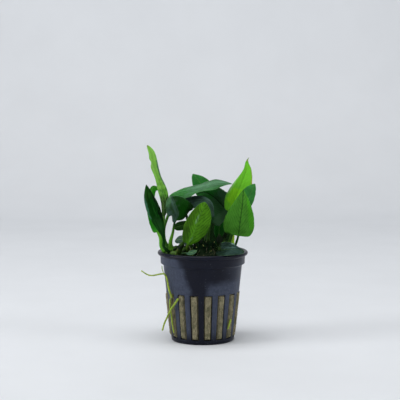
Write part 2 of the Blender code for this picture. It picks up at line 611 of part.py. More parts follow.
def build():
    clear_scene()
    add_pot(make_material("pot_plastic", POT_COLOUR, POT_ROUGHNESS))
    add_wool(make_material("rock_wool", WOOL_COLOUR, WOOL_ROUGHNESS))
    bark = make_material("rhizome", RHIZOME_COLOUR, RHIZOME_ROUGHNESS)
    add_tube("rhizome", *RHIZOME, RHIZOME_ROUNDING, bark, blunt=True)
    root = make_material("root", ROOT_COLOUR, ROOT_ROUGHNESS)
    for name, route in ROOTS.items():
        add_tube(name, *route, ROOT_ROUNDING, root)
    for name, plan in LEAVES.items():
        add_object(name, leaf_mesh(name, plan), make_material(name, plan["colour"], LEAF_ROUGHNESS))


build()
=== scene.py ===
"""Potted dwarf anubias: fine surfaces for leaves, pot, rock wool, rhizome and roots, with light and camera.

Lengths are in mm until a mesh is made. The front of the plant faces -Y and +X is to its right.
"""

import math

import bmesh
import bpy
import numpy as np
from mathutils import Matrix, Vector, noise


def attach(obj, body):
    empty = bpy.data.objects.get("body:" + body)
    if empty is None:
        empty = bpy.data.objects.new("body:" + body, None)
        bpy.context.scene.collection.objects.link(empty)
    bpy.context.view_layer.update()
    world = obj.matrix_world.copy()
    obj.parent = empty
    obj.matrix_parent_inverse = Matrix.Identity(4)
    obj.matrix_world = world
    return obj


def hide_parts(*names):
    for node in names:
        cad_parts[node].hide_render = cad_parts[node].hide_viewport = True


MM = 0.001

# Net pot
POT_HEIGHT = 50.0
RIM_RADIUS = 25.0
LIP_RADIUS = 1.15
LIP_BOTTOM = POT_HEIGHT - 2 * LIP_RADIUS
COLLAR_RADIUS = 23.4
COLLAR_BOTTOM = 43.2
WALL_TOP_RADIUS = 21.8
WALL_TOP = 42.2
BASE_RADIUS = 17.3
WALL = 1.2
FLOOR = 1.2
COLLAR_DRAFT = 0.1
STEP_DEPTH = 0.5
FOOT_BEVEL = 0.5
CORE_RADIUS = 0.4  # innermost ring of the mesh on the floor
SLOTS = 16
SLOT_PITCH = 2 * math.pi / SLOTS
SLOT_HALF = math.radians(13.5) / 2  # half a slot's width as an angle
FIRST_SLOT = math.radians(8.5 - 90)  # direction of a slot's middle, a little right of the front
SLOT_BOTTOM = 2.5
SLOT_TOP = 27.5
BASE_SLOT_INNER = 6.5
BASE_SLOT_OUTER = 13.5
SLOT_COLUMNS = 8  # mesh columns across a slot
WEB_COLUMNS = 5  # mesh columns across the wall between two slots
COLUMNS = SLOTS * (SLOT_COLUMNS + WEB_COLUMNS)
UPPER_ROWS = (29.0, 30.5, 32.0, 33.5, 35.0, 36.5, 38.0, 39.5, 41.0)  # mesh rows above the slots
MOULDED_EDGE = 0.16

# Rock wool
GAP = 0.3
WOOL_BOTTOM = FLOOR + GAP
WOOL_TOP = 46.8
WOOL_DOME = 0.3
WOOL_BULGE = 0.6
WOOL_COLUMNS = SLOTS * 26
SWOLLEN_RINGS = 76  # rings of its mesh in the slots' height
SHOULDER_RINGS = (34.0, WALL_TOP - 0.6)  # heights of the rings above them
TOP_RINGS = 64
TOP_EDGE = WALL_TOP - 0.3  # points above this height are on the wool's top
TUFT_CENTRE = (2.8, -13.5)
TUFT_HALF = (5.7, 5.6)
TUFT_HEIGHT = 8.6
STRAND_RADII = (0.02, 0.05)
STRAND_REACH = 20.2  # fibres on top end this far from the middle
STRAND_SPREAD = 0.075  # how far from a slot's middle its fibres start, as an angle
SLOT_STRANDS = 1500
TOP_STRANDS = 500

# Growth over the tuft: dark moss, near-black as painted shade between the stalks
THIN_GROWTH = 0.42
GROWTH_SHOOTS = 620
GROWTH_SPREAD = 6.5
GROWTH_LEFT = -7.0
GROWTH_RIGHT = 18.0
GROWTH_REACH = 20.0
GROWTH_FRONT = -4.5
GROWTH_DEPTH = 10.0
# Some of its tiny leaves are pale buds, and larger
BUD_SHARE = 0.008
BUD_SIZE = 1.5

# Leaves
ACROSS = 28  # panels across a blade
AROUND = 2 * ACROSS
STALK_RINGS = 26
BLADE_RINGS = 112
STALK_TAPER = 1.5
STALK_CHANNEL = 0.16
FOOT_FLARE = 0.35
FLARE_REACH = 2.2
MID_THICKNESS = 0.7
EDGE_THICKNESS = 0.36
THINNING = 0.8
OPENING = 0.08  # share of the blade over which it opens from the stalk
LOBE_FADE = 0.08
THIN_MARGIN = 0.15
RAGGED = 0.035
RAG_SIZE = 2.5
RUFFLE_SIZE = 3.2
VEIN_SLANT = 1.7
QUILT_HEIGHT = 0.055
QUILT_PITCH = 3.4
GROOVE_DEPTH = 0.2
GROOVE_WIDTH = 0.5
PATH_STEPS = 24
TANGENT_REACH = 2
FACING_REACH = 6
FOOT_GAP = 0.05
MIN_FOOT = 1.2

# Rhizome
KNOT_PITCH = 2.3

# Columns across a blade, from the left margin to the right
SPAN = 2 * np.arange(ACROSS + 1) / ACROSS - 1
APART = np.abs(SPAN)
RIGHT = (SPAN >= 0).astype(int)
HALF_TURN = math.pi * np.arange(ACROSS + 1) / ACROSS
# Where a blade's rings lie along it, closer at both its ends
EVEN_SHARES = np.arange(BLADE_RINGS) / BLADE_RINGS
BLADE_SHARES = 0.45 * EVEN_SHARES + 0.55 * (0.5 - 0.5 * np.cos(math.pi * EVEN_SHARES))

# Camera
CAMERA_PLACE = (-0.00152, -0.79974, 0.16068)
CAMERA_TILT = math.radians(84.1)
CAMERA_LENS = 130.97
CAMERA_SENSOR = 36.0


def srgb(red, green, blue):
    """Linear colour of an 8-bit display colour."""
    shares = [c / 255 for c in (red, green, blue)]
    return tuple(c / 12.92 if c <= 0.04 else ((c + 0.055) / 1.055) ** 2.4 for c in shares)


def clamp(value):
    return np.clip(value, 0, 1)


def unit(vector):
    vector = np.asarray(vector, float)
    return vector / np.linalg.norm(vector)


def lengths(rows):
    return np.linalg.norm(rows, axis=1, keepdims=True)


def smooth_path(points):
    """A curve through the points, with tangents weighted by the length of the spans."""
    points = [np.asarray(p, float) for p in points]
    points = [2 * points[0] - points[1]] + points + [2 * points[-1] - points[-2]]
    path = []
    for p0, p1, p2, p3 in zip(points, points[1:], points[2:], points[3:]):
        before, span, after = (np.linalg.norm(b - a) for a, b in ((p0, p1), (p1, p2), (p2, p3)))
        leave = (p2 - p0) * span / (before + span)
        arrive = (p3 - p1) * span / (span + after)
        for t in np.arange(PATH_STEPS) / PATH_STEPS:
            path.append((2 * t**3 - 3 * t**2 + 1) * p1 + (t**3 - 2 * t**2 + t) * leave
                        + (3 * t**2 - 2 * t**3) * p2 + (t**3 - t**2) * arrive)
    path.append(points[-2])
    return np.array(path)


def run_length(path):
    return np.concatenate([[0.0], np.cumsum(np.linalg.norm(np.diff(path, axis=0), axis=1))])


def sampled(values, run, where):
    """Rows of values, known at run, read at the lengths in where."""
    return np.stack([np.interp(where, run, values[:, k]) for k in range(values.shape[1])], 1)


def eased(rows, reach):
    """Rows averaged with their neighbours up to reach away, and made unit again."""
    padded = np.vstack([rows[:1]] * reach + [rows] + [rows[-1:]] * reach)
    total = sum(padded[k:k + len(rows)] for k in range(2 * reach + 1))
    return total / lengths(total)


def rough(points, size, seed=0.0, octaves=3):
    """Fractal noise, about -1 to 1, with features of the given size at each point in mm."""
    shift = Vector((seed * 7.3, seed * 3.1, seed * 11.7))
    return np.array([noise.fractal(Vector(p / size) + shift, 0.9, 2.0, octaves) for p in points])


def set_values(mesh, values):
    """Float attributes on a mesh's points."""
    for key, rows in values.items():
        mesh.attributes.new(key, "FLOAT", "POINT").data.foreach_set("value", np.asarray(rows, np.float32))


def add_mesh(name, points, faces, values=None, smooth=True):
    """A piece from points in mm, with float attributes on its points."""
    mesh = bpy.data.meshes.new(name)
    mesh.from_pydata((np.asarray(points) * MM).tolist(), [], faces)
    set_values(mesh, values or {})
    if smooth:
        mesh.shade_smooth()
    piece = bpy.data.objects.new(name, mesh)
    bpy.context.scene.collection.objects.link(piece)
    return piece


def face_outwards(piece):
    """Turn the faces of a closed piece outwards."""
    bm = bmesh.new()
    bm.from_mesh(piece.data)
    bmesh.ops.recalc_face_normals(bm, faces=bm.faces)
    bm.to_mesh(piece.data)
    bm.free()


def ring_faces(rings, around):
    """Quads of a grid of rings; they face out where the rings turn clockwise about the way they advance."""
    faces = []
    for i in range(rings - 1):
        for j in range(around):
            k = (j + 1) % around
            faces.append((i * around + j, i * around + k, (i + 1) * around + k, (i + 1) * around + j))
    return faces


def end_fans(rings, around):
    """Triangles that close a grid of rings at both ends, to two points that come after the grid."""
    last, start, end = (rings - 1) * around, rings * around, rings * around + 1
    faces = []
    for j in range(around):
        k = (j + 1) % around
        faces += [(k, j, start), (last + j, last + k, end)]
    return faces


def end_caps(rings, around):
    """Flat faces that close a grid of rings at both ends."""
    last = (rings - 1) * around
    return [tuple(range(around))[::-1], tuple(range(last, last + around))]


def shifted(faces, first):
    """Faces of a part whose points start at the index first."""
    return [tuple(first + k for k in face) for face in faces]


# Materials


class Look:
    """A material's nodes, with short ways to add to them."""

    def __init__(self, name, **constants):
        self.material = bpy.data.materials.new(name)
        self.material.use_nodes = True
        self.tree = self.material.node_tree
        self.shader = self.tree.nodes["Principled BSDF"]
        for key, value in constants.items():
            self.shader.inputs[key.replace("_", " ")].default_value = value

    def node(self, kind, inputs=None, **settings):
        made = self.tree.nodes.new(kind)
        for key, value in settings.items():
            setattr(made, key, value)
        for key, value in (inputs or {}).items():
            if isinstance(value, bpy.types.NodeSocket):
                self.tree.links.new(value, made.inputs[key])
            else:
                made.inputs[key].default_value = value
        return made

    def value(self, key):
        return self.node("ShaderNodeAttribute", attribute_name=key).outputs["Fac"]

    def math(self, operation, first, second=0.0):
        return self.node("ShaderNodeMath", {0: first, 1: second}, operation=operation).outputs[0]

    def plus(self, first, second):
        return self.math("ADD", first, second)

    def times(self, first, second):
        return self.math("MULTIPLY", first, second)

    def band(self, value, low, high, to_low=0.0, to_high=1.0):
        """Value eased from low..high to to_low..to_high."""
        inputs = {"Value": value, "From Min": low, "From Max": high, "To Min": to_low, "To Max": to_high}
        return self.node("ShaderNodeMapRange", inputs, interpolation_type="SMOOTHSTEP").outputs[0]

    def mix(self, factor, first, second, blend="MIX"):
        first, second = ((*c, 1.0) if isinstance(c, tuple) else c for c in (first, second))
        return self.node("ShaderNodeMix", {0: factor, 6: first, 7: second},
                         data_type="RGBA", blend_type=blend).outputs[2]

    def place(self, stretch=(1, 1, 1)):
        """Coordinates in mm."""
        spot = self.node("ShaderNodeTexCoord").outputs["Object"]
        return self.node("ShaderNodeMapping", {"Vector": spot, "Scale": [s / MM for s in stretch]}).outputs[0]

    def noise(self, size, detail=3.0, place=None, roughness=0.55):
        """Noise of 0..1 with features of the given size in mm."""
        return self.node("ShaderNodeTexNoise", {"Vector": place or self.place(), "Scale": 1 / size,
                                                "Detail": detail, "Roughness": roughness}).outputs["Fac"]

    def bump(self, height, depth, strength, after=None):
        inputs = {"Height": height, "Distance": depth * MM, "Strength": strength}
        if after is not None:
            inputs["Normal"] = after
        return self.node("ShaderNodeBump", inputs).outputs[0]

    def finish(self, colour, roughness=None, normal=None):
        for key, socket in (("Base Color", colour), ("Roughness", roughness), ("Normal", normal)):
            if socket is not None:
                self.tree.links.new(socket, self.shader.inputs[key])
        return self.material


def leaf_ground(look, plan, side):
    """The leaf's colours, its patches (tints, painted sheen, painted highlights and painted shade) and faint
    streaks that run along the blade.
    """
    colour = look.mix(look.value("upper"), srgb(*plan["under"]), srgb(*plan["upper"]))
    patch_side = look.times(side, side)
    for k, (*_, tint, _) in enumerate(plan["patches"]):
        colour = look.mix(look.times(look.value(f"patch_{k}"), patch_side), colour, srgb(*tint))
    drawn_out = look.times(look.value("along"), 0.07)
    lengthwise = look.node("ShaderNodeCombineXYZ", {"X": look.value("out"), "Y": drawn_out}).outputs[0]
    streak = look.times(look.band(look.noise(0.8, 2.0, lengthwise), 0.45, 0.7), side)
    return look.mix(look.times(streak, plan["streak_tone"]), colour, srgb(*plan["vein_colour"]))


def leaf_ridges(look, pitch, shown):
    """The main veins and the finer ones between them, bent where the tissue swells."""
    drift = look.times(look.math("SUBTRACT", look.noise(6.0, 3.0), 0.5), 4.0)
    vein = look.plus(look.value("vein"), drift)
    turns = [look.times(vein, 2 * math.pi / p) for p in (pitch, pitch / 3)]
    return [look.times(look.band(look.math("SINE", turn), 0.1, 1.0), shown) for turn in turns]


def leaf_look(name, plan):
    """Leaf tissue: mottled, with oblique veins, a midrib, a thin margin and the leaf's patches of tint,
    painted sheen, painted highlights and painted shade.
    """
    look = Look(name, Specular_IOR_Level=plan["gloss"], Subsurface_Weight=plan["glow"],
                Subsurface_Scale=0.5 * MM, Subsurface_Radius=(0.7, 1.0, 0.25))
    vein_tint, stalk = srgb(*plan["vein_colour"]), srgb(*plan["stalk_colour"])
    on_blade = look.band(look.value("along"), 0.0, 2.0)
    wide = look.noise(4.5, 4.0)
    fine = look.noise(0.5, 3.0)
    side = look.band(look.value("upper"), 0.0, 1.0, plan["shows_under"], 1.0)
    colour = leaf_ground(look, plan, side)
    main, finer = leaf_ridges(look, plan["vein_pitch"], look.times(on_blade, side))
    broken = look.times(main, look.band(look.noise(1.6, 3.0), 0.35, 0.6, 0.35, 1.0))
    rib = look.times(look.band(look.value("mid"), 0.45, 0.1), on_blade)
    margin = look.times(look.band(look.value("edge"), 0.35, 0.08), on_blade)
    for shape, tone, tint in ((broken, plan["vein_tone"], vein_tint),
                              (finer, plan["vein_tone"] * 0.4, vein_tint),
                              (rib, plan["rib_tone"], srgb(*plan["rib_colour"])),
                              (margin, plan["margin_tone"], srgb(*plan["margin_colour"]))):
        colour = look.mix(look.times(shape, tone), colour, tint)
    colour = look.mix(look.band(wide, 0.35, 0.75, 0.0, plan["mottle"]), colour, (0.0, 0.0, 0.0))
    colour = look.mix(look.band(fine, 0.5, 0.8, 0.0, 0.2), colour, (0.9, 1.0, 0.7), "SOFT_LIGHT")
    stripes = look.noise(1.2, 3.0, look.place((1, 1, 0.25)))
    stalk = look.mix(stripes, stalk, tuple(c * 0.55 for c in stalk))
    colour = look.mix(look.band(look.value("along"), 0.8, -plan["stalk_fade"]), colour, stalk)
    roughness = look.plus(look.band(wide, 0.3, 0.7, -0.06, 0.1), plan["roughness"])
    normal = look.bump(finer, 0.04, 0.4, look.bump(main, 0.08, 0.6))
    return look.finish(colour, roughness, look.bump(fine, 0.05, 0.35, normal))


def pot_look():
    """Dark blue-grey moulded plastic with faint flow marks, pale blue-grey painted reflections in broad
    patches that are also rougher, and pale specks of dust.
    """
    look = Look("pot_plastic_look", Specular_IOR_Level=0.14)
    flow = look.noise(9.0, 4.0, look.place((1, 1, 0.3)))
    # Painted reflection: pale blue-grey patches on the wall where the mask says, mottled, and a little
    # rougher there
    painted_reflection = look.times(look.value("painted_reflection"), look.band(look.noise(1.4, 5.0), 0.2, 0.7, 0.6, 1.0))
    cells = look.node("ShaderNodeTexVoronoi", {"Vector": look.place(), "Scale": 0.9}, feature="F1")
    specks = look.band(cells.outputs["Distance"], 0.15, 0.06)
    dust = look.times(specks, look.band(look.noise(3.0), 0.45, 0.6))
    colour = look.mix(flow, srgb(10, 12, 24), srgb(22, 26, 40))
    colour = look.mix(painted_reflection, colour, srgb(64, 71, 88))
    colour = look.mix(look.times(dust, 0.6), colour, srgb(140, 146, 152))
    scuff = look.noise(0.25, 4.0, look.place((1, 1, 0.4)))
    roughness = look.plus(look.band(flow, 0.3, 0.75, 0.3, 0.42), look.times(painted_reflection, 0.15))
    return look.finish(colour, roughness, look.bump(scuff, 0.03, 0.25))


def wool_look(name, pale, dark, green):
    """Matted mineral fibre stained by algae: crossing hair-thin strands over a crumbly body."""
    look = Look(name, Specular_IOR_Level=0.12)
    stain = look.noise(3.2, 5.0)
    grown = look.plus(look.value("grown"), look.times(look.value("grown"), stain))
    crumb = look.noise(0.45, 4.0, roughness=0.7)
    strands = look.noise(0.3, 4.0, look.place((1.0, 1.0, 1.6)))
    cross = look.noise(0.5, 4.0, look.place((1.5, 1.5, 0.15)))
    colour = look.mix(crumb, dark, pale)
    colour = look.mix(look.band(stain, 0.42, 0.68, 0.0, 0.8), colour, green)
    colour = look.mix(look.band(strands, 0.55, 0.7, 0.0, 0.45), colour, pale)
    colour = look.mix(look.band(cross, 0.35, 0.55, 0.75, 0.0), colour, dark)
    colour = look.mix(look.band(grown, 0.1, 0.9), colour, look.mix(crumb, srgb(8, 18, 8), srgb(24, 44, 18)))
    normal = look.bump(strands, 0.3, 0.7, look.bump(crumb, 0.3, 0.8))
    return look.finish(colour, look.band(crumb, 0.2, 0.8, 0.85, 1.0), normal)


def bark_look(name, young, old, scar):
    """Skin of a rhizome or root: green and waxy, browner with age, with cross rings."""
    look = Look(name, Specular_IOR_Level=0.3, Subsurface_Weight=0.1, Subsurface_Scale=0.5 * MM)
    age = look.noise(2.2, 4.0)
    grain = look.noise(0.4, 4.0)
    rings = look.band(look.math("SINE", look.times(look.value("along"), 2 * math.pi / 0.7)), 0.5, 1.0)
    colour = look.mix(look.band(age, 0.38, 0.66), young, old)
    colour = look.mix(look.times(rings, 0.35), colour, scar)
    colour = look.mix(look.band(grain, 0.58, 0.75, 0.0, 0.6), colour, scar)
    normal = look.bump(rings, 0.08, 0.4, look.bump(grain, 0.1, 0.5))
    return look.finish(colour, look.band(grain, 0.3, 0.7, 0.38, 0.62), normal)


def growth_and_shade_look():
    # Near-black to dark green: the moss's own green darkened into painted shade; the palest tones are pale
    # buds
    look = Look("growth_and_shade_look", Specular_IOR_Level=0.08, Roughness=0.8)
    tone = look.value("tone")
    colour = look.mix(look.band(tone, 0.0, 0.75), srgb(1, 8, 5), srgb(14, 46, 16))
    return look.finish(look.mix(look.band(tone, 0.8, 0.9), colour, srgb(160, 170, 100)))


def scale_look():
    """Dry sheaths, from dark green through olive to pale by their tone."""
    look = Look("scale_look", Specular_IOR_Level=0.15, Roughness=0.6)
    grain = look.noise(0.5, 4.0, look.place((1, 1, 0.2)))
    tone = look.plus(look.value("tone"), look.times(look.math("SUBTRACT", grain, 0.5), 0.35))
    colour = look.mix(look.band(tone, 0.0, 0.35), srgb(8, 26, 6), srgb(54, 88, 22))
    colour = look.mix(look.band(tone, 0.35, 0.6), colour, srgb(84, 90, 40))
    colour = look.mix(look.band(tone, 0.65, 0.95), colour, srgb(168, 176, 140))
    return look.finish(colour, None, look.bump(grain, 0.1, 0.5))


def ground_look():
    look = Look("ground_look", Specular_IOR_Level=0.1, Roughness=0.8)
    return look.finish(look.mix(look.noise(60.0, 3.0), srgb(214, 217, 221), srgb(222, 225, 229)))


# Leaves


def half_width(share, shape):
    """Share of the greatest half width at a share of the blade's length."""
    rise, fall = shape
    peak = rise / (rise + fall)
    inside = clamp(share)
    return (inside / peak) ** rise * ((1 - inside) / (1 - peak)) ** fall


def rooted(stalk):
    """The stalk's points, after a foot that stands squarely on the rhizome nearest to the first of them."""
    start_radius, end_radius, points = RHIZOME
    axis = smooth_path(points)
    distances = np.linalg.norm(axis - stalk[0], axis=1)
    i = int(np.argmin(distances))
    direction = unit(stalk[0] - axis[i])
    foot = start_radius + (end_radius - start_radius) * i / len(axis) + FOOT_GAP
    first = max(distances[i], foot + MIN_FOOT)
    return [axis[i] + direction * foot, axis[i] + direction * first] + stalk[1:]


def folded(slope):
    """How far out and how high each column lies, in half widths, where the blade has this slope at each."""
    middle = ACROSS // 2
    flat = np.zeros(ACROSS + 1)
    rise = np.zeros(ACROSS + 1)
    for step in (1, -1):
        order = np.arange(middle, ACROSS + 1 if step > 0 else -1, step)
        tilt = slope[order].copy()
        tilt[0] = tilt[1] - (tilt[2] - tilt[1])
        mean = (tilt[1:] + tilt[:-1]) / 2
        flat[order] = np.concatenate([[0], np.cumsum(np.cos(mean))]) * step / middle
        rise[order] = np.concatenate([[0], np.cumsum(np.sin(mean))]) / middle
    return flat, rise


def ringed(top, under=None):
    """A ring's rows: the upper side from left to right, then the underside back."""
    under = top if under is None else under
    return np.concatenate([top, under[-2:0:-1]])


class LeafSkin:
    """One leaf as one fine skin: a round stalk that opens into a thin blade with worn margins."""

    def __init__(self, number, plan):
        self.plan = plan
        self.seed = number * 1.7 + 0.5
        self.points = []
        self.values = {key: [] for key in ("upper", "along", "across", "out", "edge", "mid", "vein", "share")}
        self.lay_out(rooted(plan["stalk"]))
        for i in range(STALK_RINGS):
            self.add_stalk_ring(i)
        for i, share in enumerate(BLADE_SHARES):
            self.add_blade_ring(STALK_RINGS + i, share)

    def lay_out(self, stalk):
        """Centres and directions of all rings, from the stalk's foot to the tip."""
        path = smooth_path(stalk + self.plan["blade"])
        run = run_length(path)
        steps = np.arange(len(path))
        ahead = path[np.minimum(steps + TANGENT_REACH, len(path) - 1)]
        behind = path[np.maximum(steps - TANGENT_REACH, 0)]
        self.ends = [path[:1], path[-1:]]
        self.joint = run[len(stalk) * PATH_STEPS]
        self.length = run[-1] - self.joint
        on_stalk = np.arange(STALK_RINGS) / STALK_RINGS * self.joint
        self.where = np.concatenate([on_stalk, self.joint + BLADE_SHARES * self.length])
        self.centres = sampled(path, run, self.where)
        self.tangents = eased(sampled(ahead - behind, run, self.where), 1)
        facing = np.array([unit(f) for f in self.plan["facing"]])
        shares = clamp((self.where - self.joint) / self.length)
        aim = eased(sampled(facing, np.linspace(0, 1, len(facing)), shares), FACING_REACH)
        ups = aim - self.tangents * (aim * self.tangents).sum(1, keepdims=True)
        self.ups = ups / lengths(ups)
        self.sides = np.cross(self.tangents, self.ups)

    def pair(self, key):
        """A plan's pair for the left and right half, at each column."""
        return np.array(self.plan[key])[RIGHT]

    def keep(self, **values):
        for key, value in values.items():
            self.values[key].append(np.broadcast_to(value, (AROUND,)))

    def add_stalk_ring(self, i):
        """A round ring with a shallow channel along the side that the blade opens from."""
        foot_radius, top_radius = self.plan["stalk_radius"]
        at = self.where[i]
        radius = top_radius + (foot_radius - top_radius) * (1 - i / STALK_RINGS) ** STALK_TAPER
        radius *= 1 + FOOT_FLARE * max(0.0, 1 - (at / FLARE_REACH)) ** 2
        angles = math.pi - math.pi * np.arange(AROUND) / ACROSS
        channel = 1 - STALK_CHANNEL * clamp(np.sin(angles)) ** 6
        self.points.append(self.centres[i] + radius * (np.outer(np.cos(angles), self.sides[i])
                                                       + np.outer(np.sin(angles) * channel, self.ups[i])))
        self.keep(upper=0.5, along=at - self.joint, across=0.0, out=radius * np.cos(angles),
                  edge=5.0, mid=5.0, vein=0.0, share=0.0)

    def half_widths(self, share, opened, narrow):
        """Half width at each column, with a ragged margin and its nicks."""
        widths = np.array([half_width(share, self.plan["shape"][h]) * self.plan["half"][h] for h in (0, 1)])
        for half, nick, reach, missing in self.plan["nicks"]:
            widths[half] *= 1 - missing * math.exp(-((share - nick) / reach) ** 2)
        along = share * self.length / RAG_SIZE
        ragged = np.array([noise.fractal(Vector((along, self.seed, row)), 0.9, 2.0, 3) for row in (0, 9)])
        return np.maximum(widths * (1 + RAGGED * opened * ragged), narrow)[RIGHT]

    def heights(self, share, folds, vein, full, opened):
        """Heights of the folds with the blade's waves, ruffled margin and the quilting between its veins."""
        swell, turns, phase = self.plan["wave"]
        turn = turns * share + phase + 0.5 * (1 - RIGHT)
        lift = folds + np.array(swell)[RIGHT] * SPAN * SPAN * np.sin(2 * math.pi * turn) * full
        along = share * self.length / RUFFLE_SIZE
        ruffle = self.plan["ruffle"] * APART**3 * np.array(
            [noise.noise(Vector((along, self.seed, 4 * h))) for h in RIGHT])
        quilt = QUILT_HEIGHT * np.sin(2 * math.pi * vein / QUILT_PITCH) * APART * (1 - APART) * 4 * full
        return lift + (ruffle + quilt) * opened

    def add_blade_ring(self, at, share):
        """A thin ring of the blade, still rounded where it opens from the stalk."""
        plan, up = self.plan, self.ups[at]
        narrow = plan["stalk_radius"][1] * (1 - share)
        rounded = max(0.0, 1 - share / OPENING)
        opened = 1 - rounded**2
        width = self.half_widths(share, opened, narrow)
        full = np.minimum(1, width / self.pair("half"))
        flat, rise = folded(np.radians((self.pair("fold") + self.pair("curl") * APART) * opened))
        out = flat * width * (1 - rounded) - rounded * width * np.cos(HALF_TURN)
        lobe = plan["lobe"] * self.length * SPAN * SPAN * math.exp(-share / LOBE_FADE) * opened
        mid = APART * width
        vein = share * self.length - VEIN_SLANT * width * APART**1.25
        place = (self.centres[at] + np.outer(out, self.sides[at])
                 + np.outer(self.heights(share, rise * width, vein, full, opened), up)
                 - np.outer(lobe, self.tangents[at]))
        place[:, 2] -= self.pair("droop") * SPAN * SPAN * full * opened
        groove = GROOVE_DEPTH * np.exp(-(mid / GROOVE_WIDTH) ** 2) * opened * min(1.0, 4 * (1 - share))
        round_height = rounded * narrow * np.sin(HALF_TURN)
        thin = (EDGE_THICKNESS + (MID_THICKNESS - EDGE_THICKNESS) * (1 - APART) ** THINNING) / 2
        thin = thin * np.sqrt(np.clip(1 - APART**8, THIN_MARGIN, 1)) * min(1, 0.35 + 3 * (1 - share))
        rib = 0.6 * narrow * clamp(1 - mid / max(1.6 * narrow, 0.3))
        top = place + np.outer(round_height + (1 - rounded) * thin - groove, up)
        under = place - np.outer(round_height + (1 - rounded) * (thin + rib), up)
        self.points.append(ringed(top, under))
        self.keep(upper=ringed(np.ones(ACROSS + 1), np.zeros(ACROSS + 1)), along=share * self.length,
                  across=ringed(SPAN), out=ringed(SPAN * width), edge=ringed((1 - APART) * width),
                  mid=ringed(mid), vein=ringed(vein), share=share)

    def piece(self, name):
        """The closed skin, with the values that its look reads."""
        rings = STALK_RINGS + BLADE_RINGS
        points = np.vstack(self.points + self.ends)
        values = {key: np.concatenate(rows + [[rows[0][0], rows[-1][0]]])
                  for key, rows in self.values.items()}
        shares, across = values.pop("share"), values.pop("across")
        uneven = rough(points, 2.2, self.seed, 2)
        for k, (share, middle, long, wide, colour, strength) in enumerate(self.plan["patches"]):
            away = np.hypot((shares - share) / long, (across - middle) / wide) + 0.35 * uneven
            patch = clamp((1.25 - away) / 0.5)
            values[f"patch_{k}"] = strength * patch * patch * (3 - 2 * patch) * (values["along"] >= 0)
        return add_mesh(name, points, ring_faces(rings, AROUND) + end_fans(rings, AROUND), values)


def leaf(stalk, blade, facing, half, shape=(0.55, 1.0), other_shape=None, fold=(0, 0), curl=(0, 0),
         lobe=0.1, wave=((0, 0), 1, 0), stalk_radius=(1.1, 0.7), droop=(0, 0), nicks=()):
    """A leaf by its stalk and midrib points, the way its upper side faces and its two half widths.

    Seen from the upper side with the tip up, the first of each pair is the left half. A shape is a pair
    of powers for the rise from the stalk and the fall to the tip. Fold and curl are in degrees. A wave is
    its two heights at the margins, its number of waves and its phase. Droop is how far each margin hangs.
    A nick is (half, share, reach along, share of the half width that is missing).
    """
    return dict(stalk=stalk, blade=blade, facing=facing, half=half, shape=(shape, other_shape or shape),
                fold=fold, curl=curl, lobe=lobe, wave=wave, stalk_radius=stalk_radius, droop=droop,
                nicks=nicks)


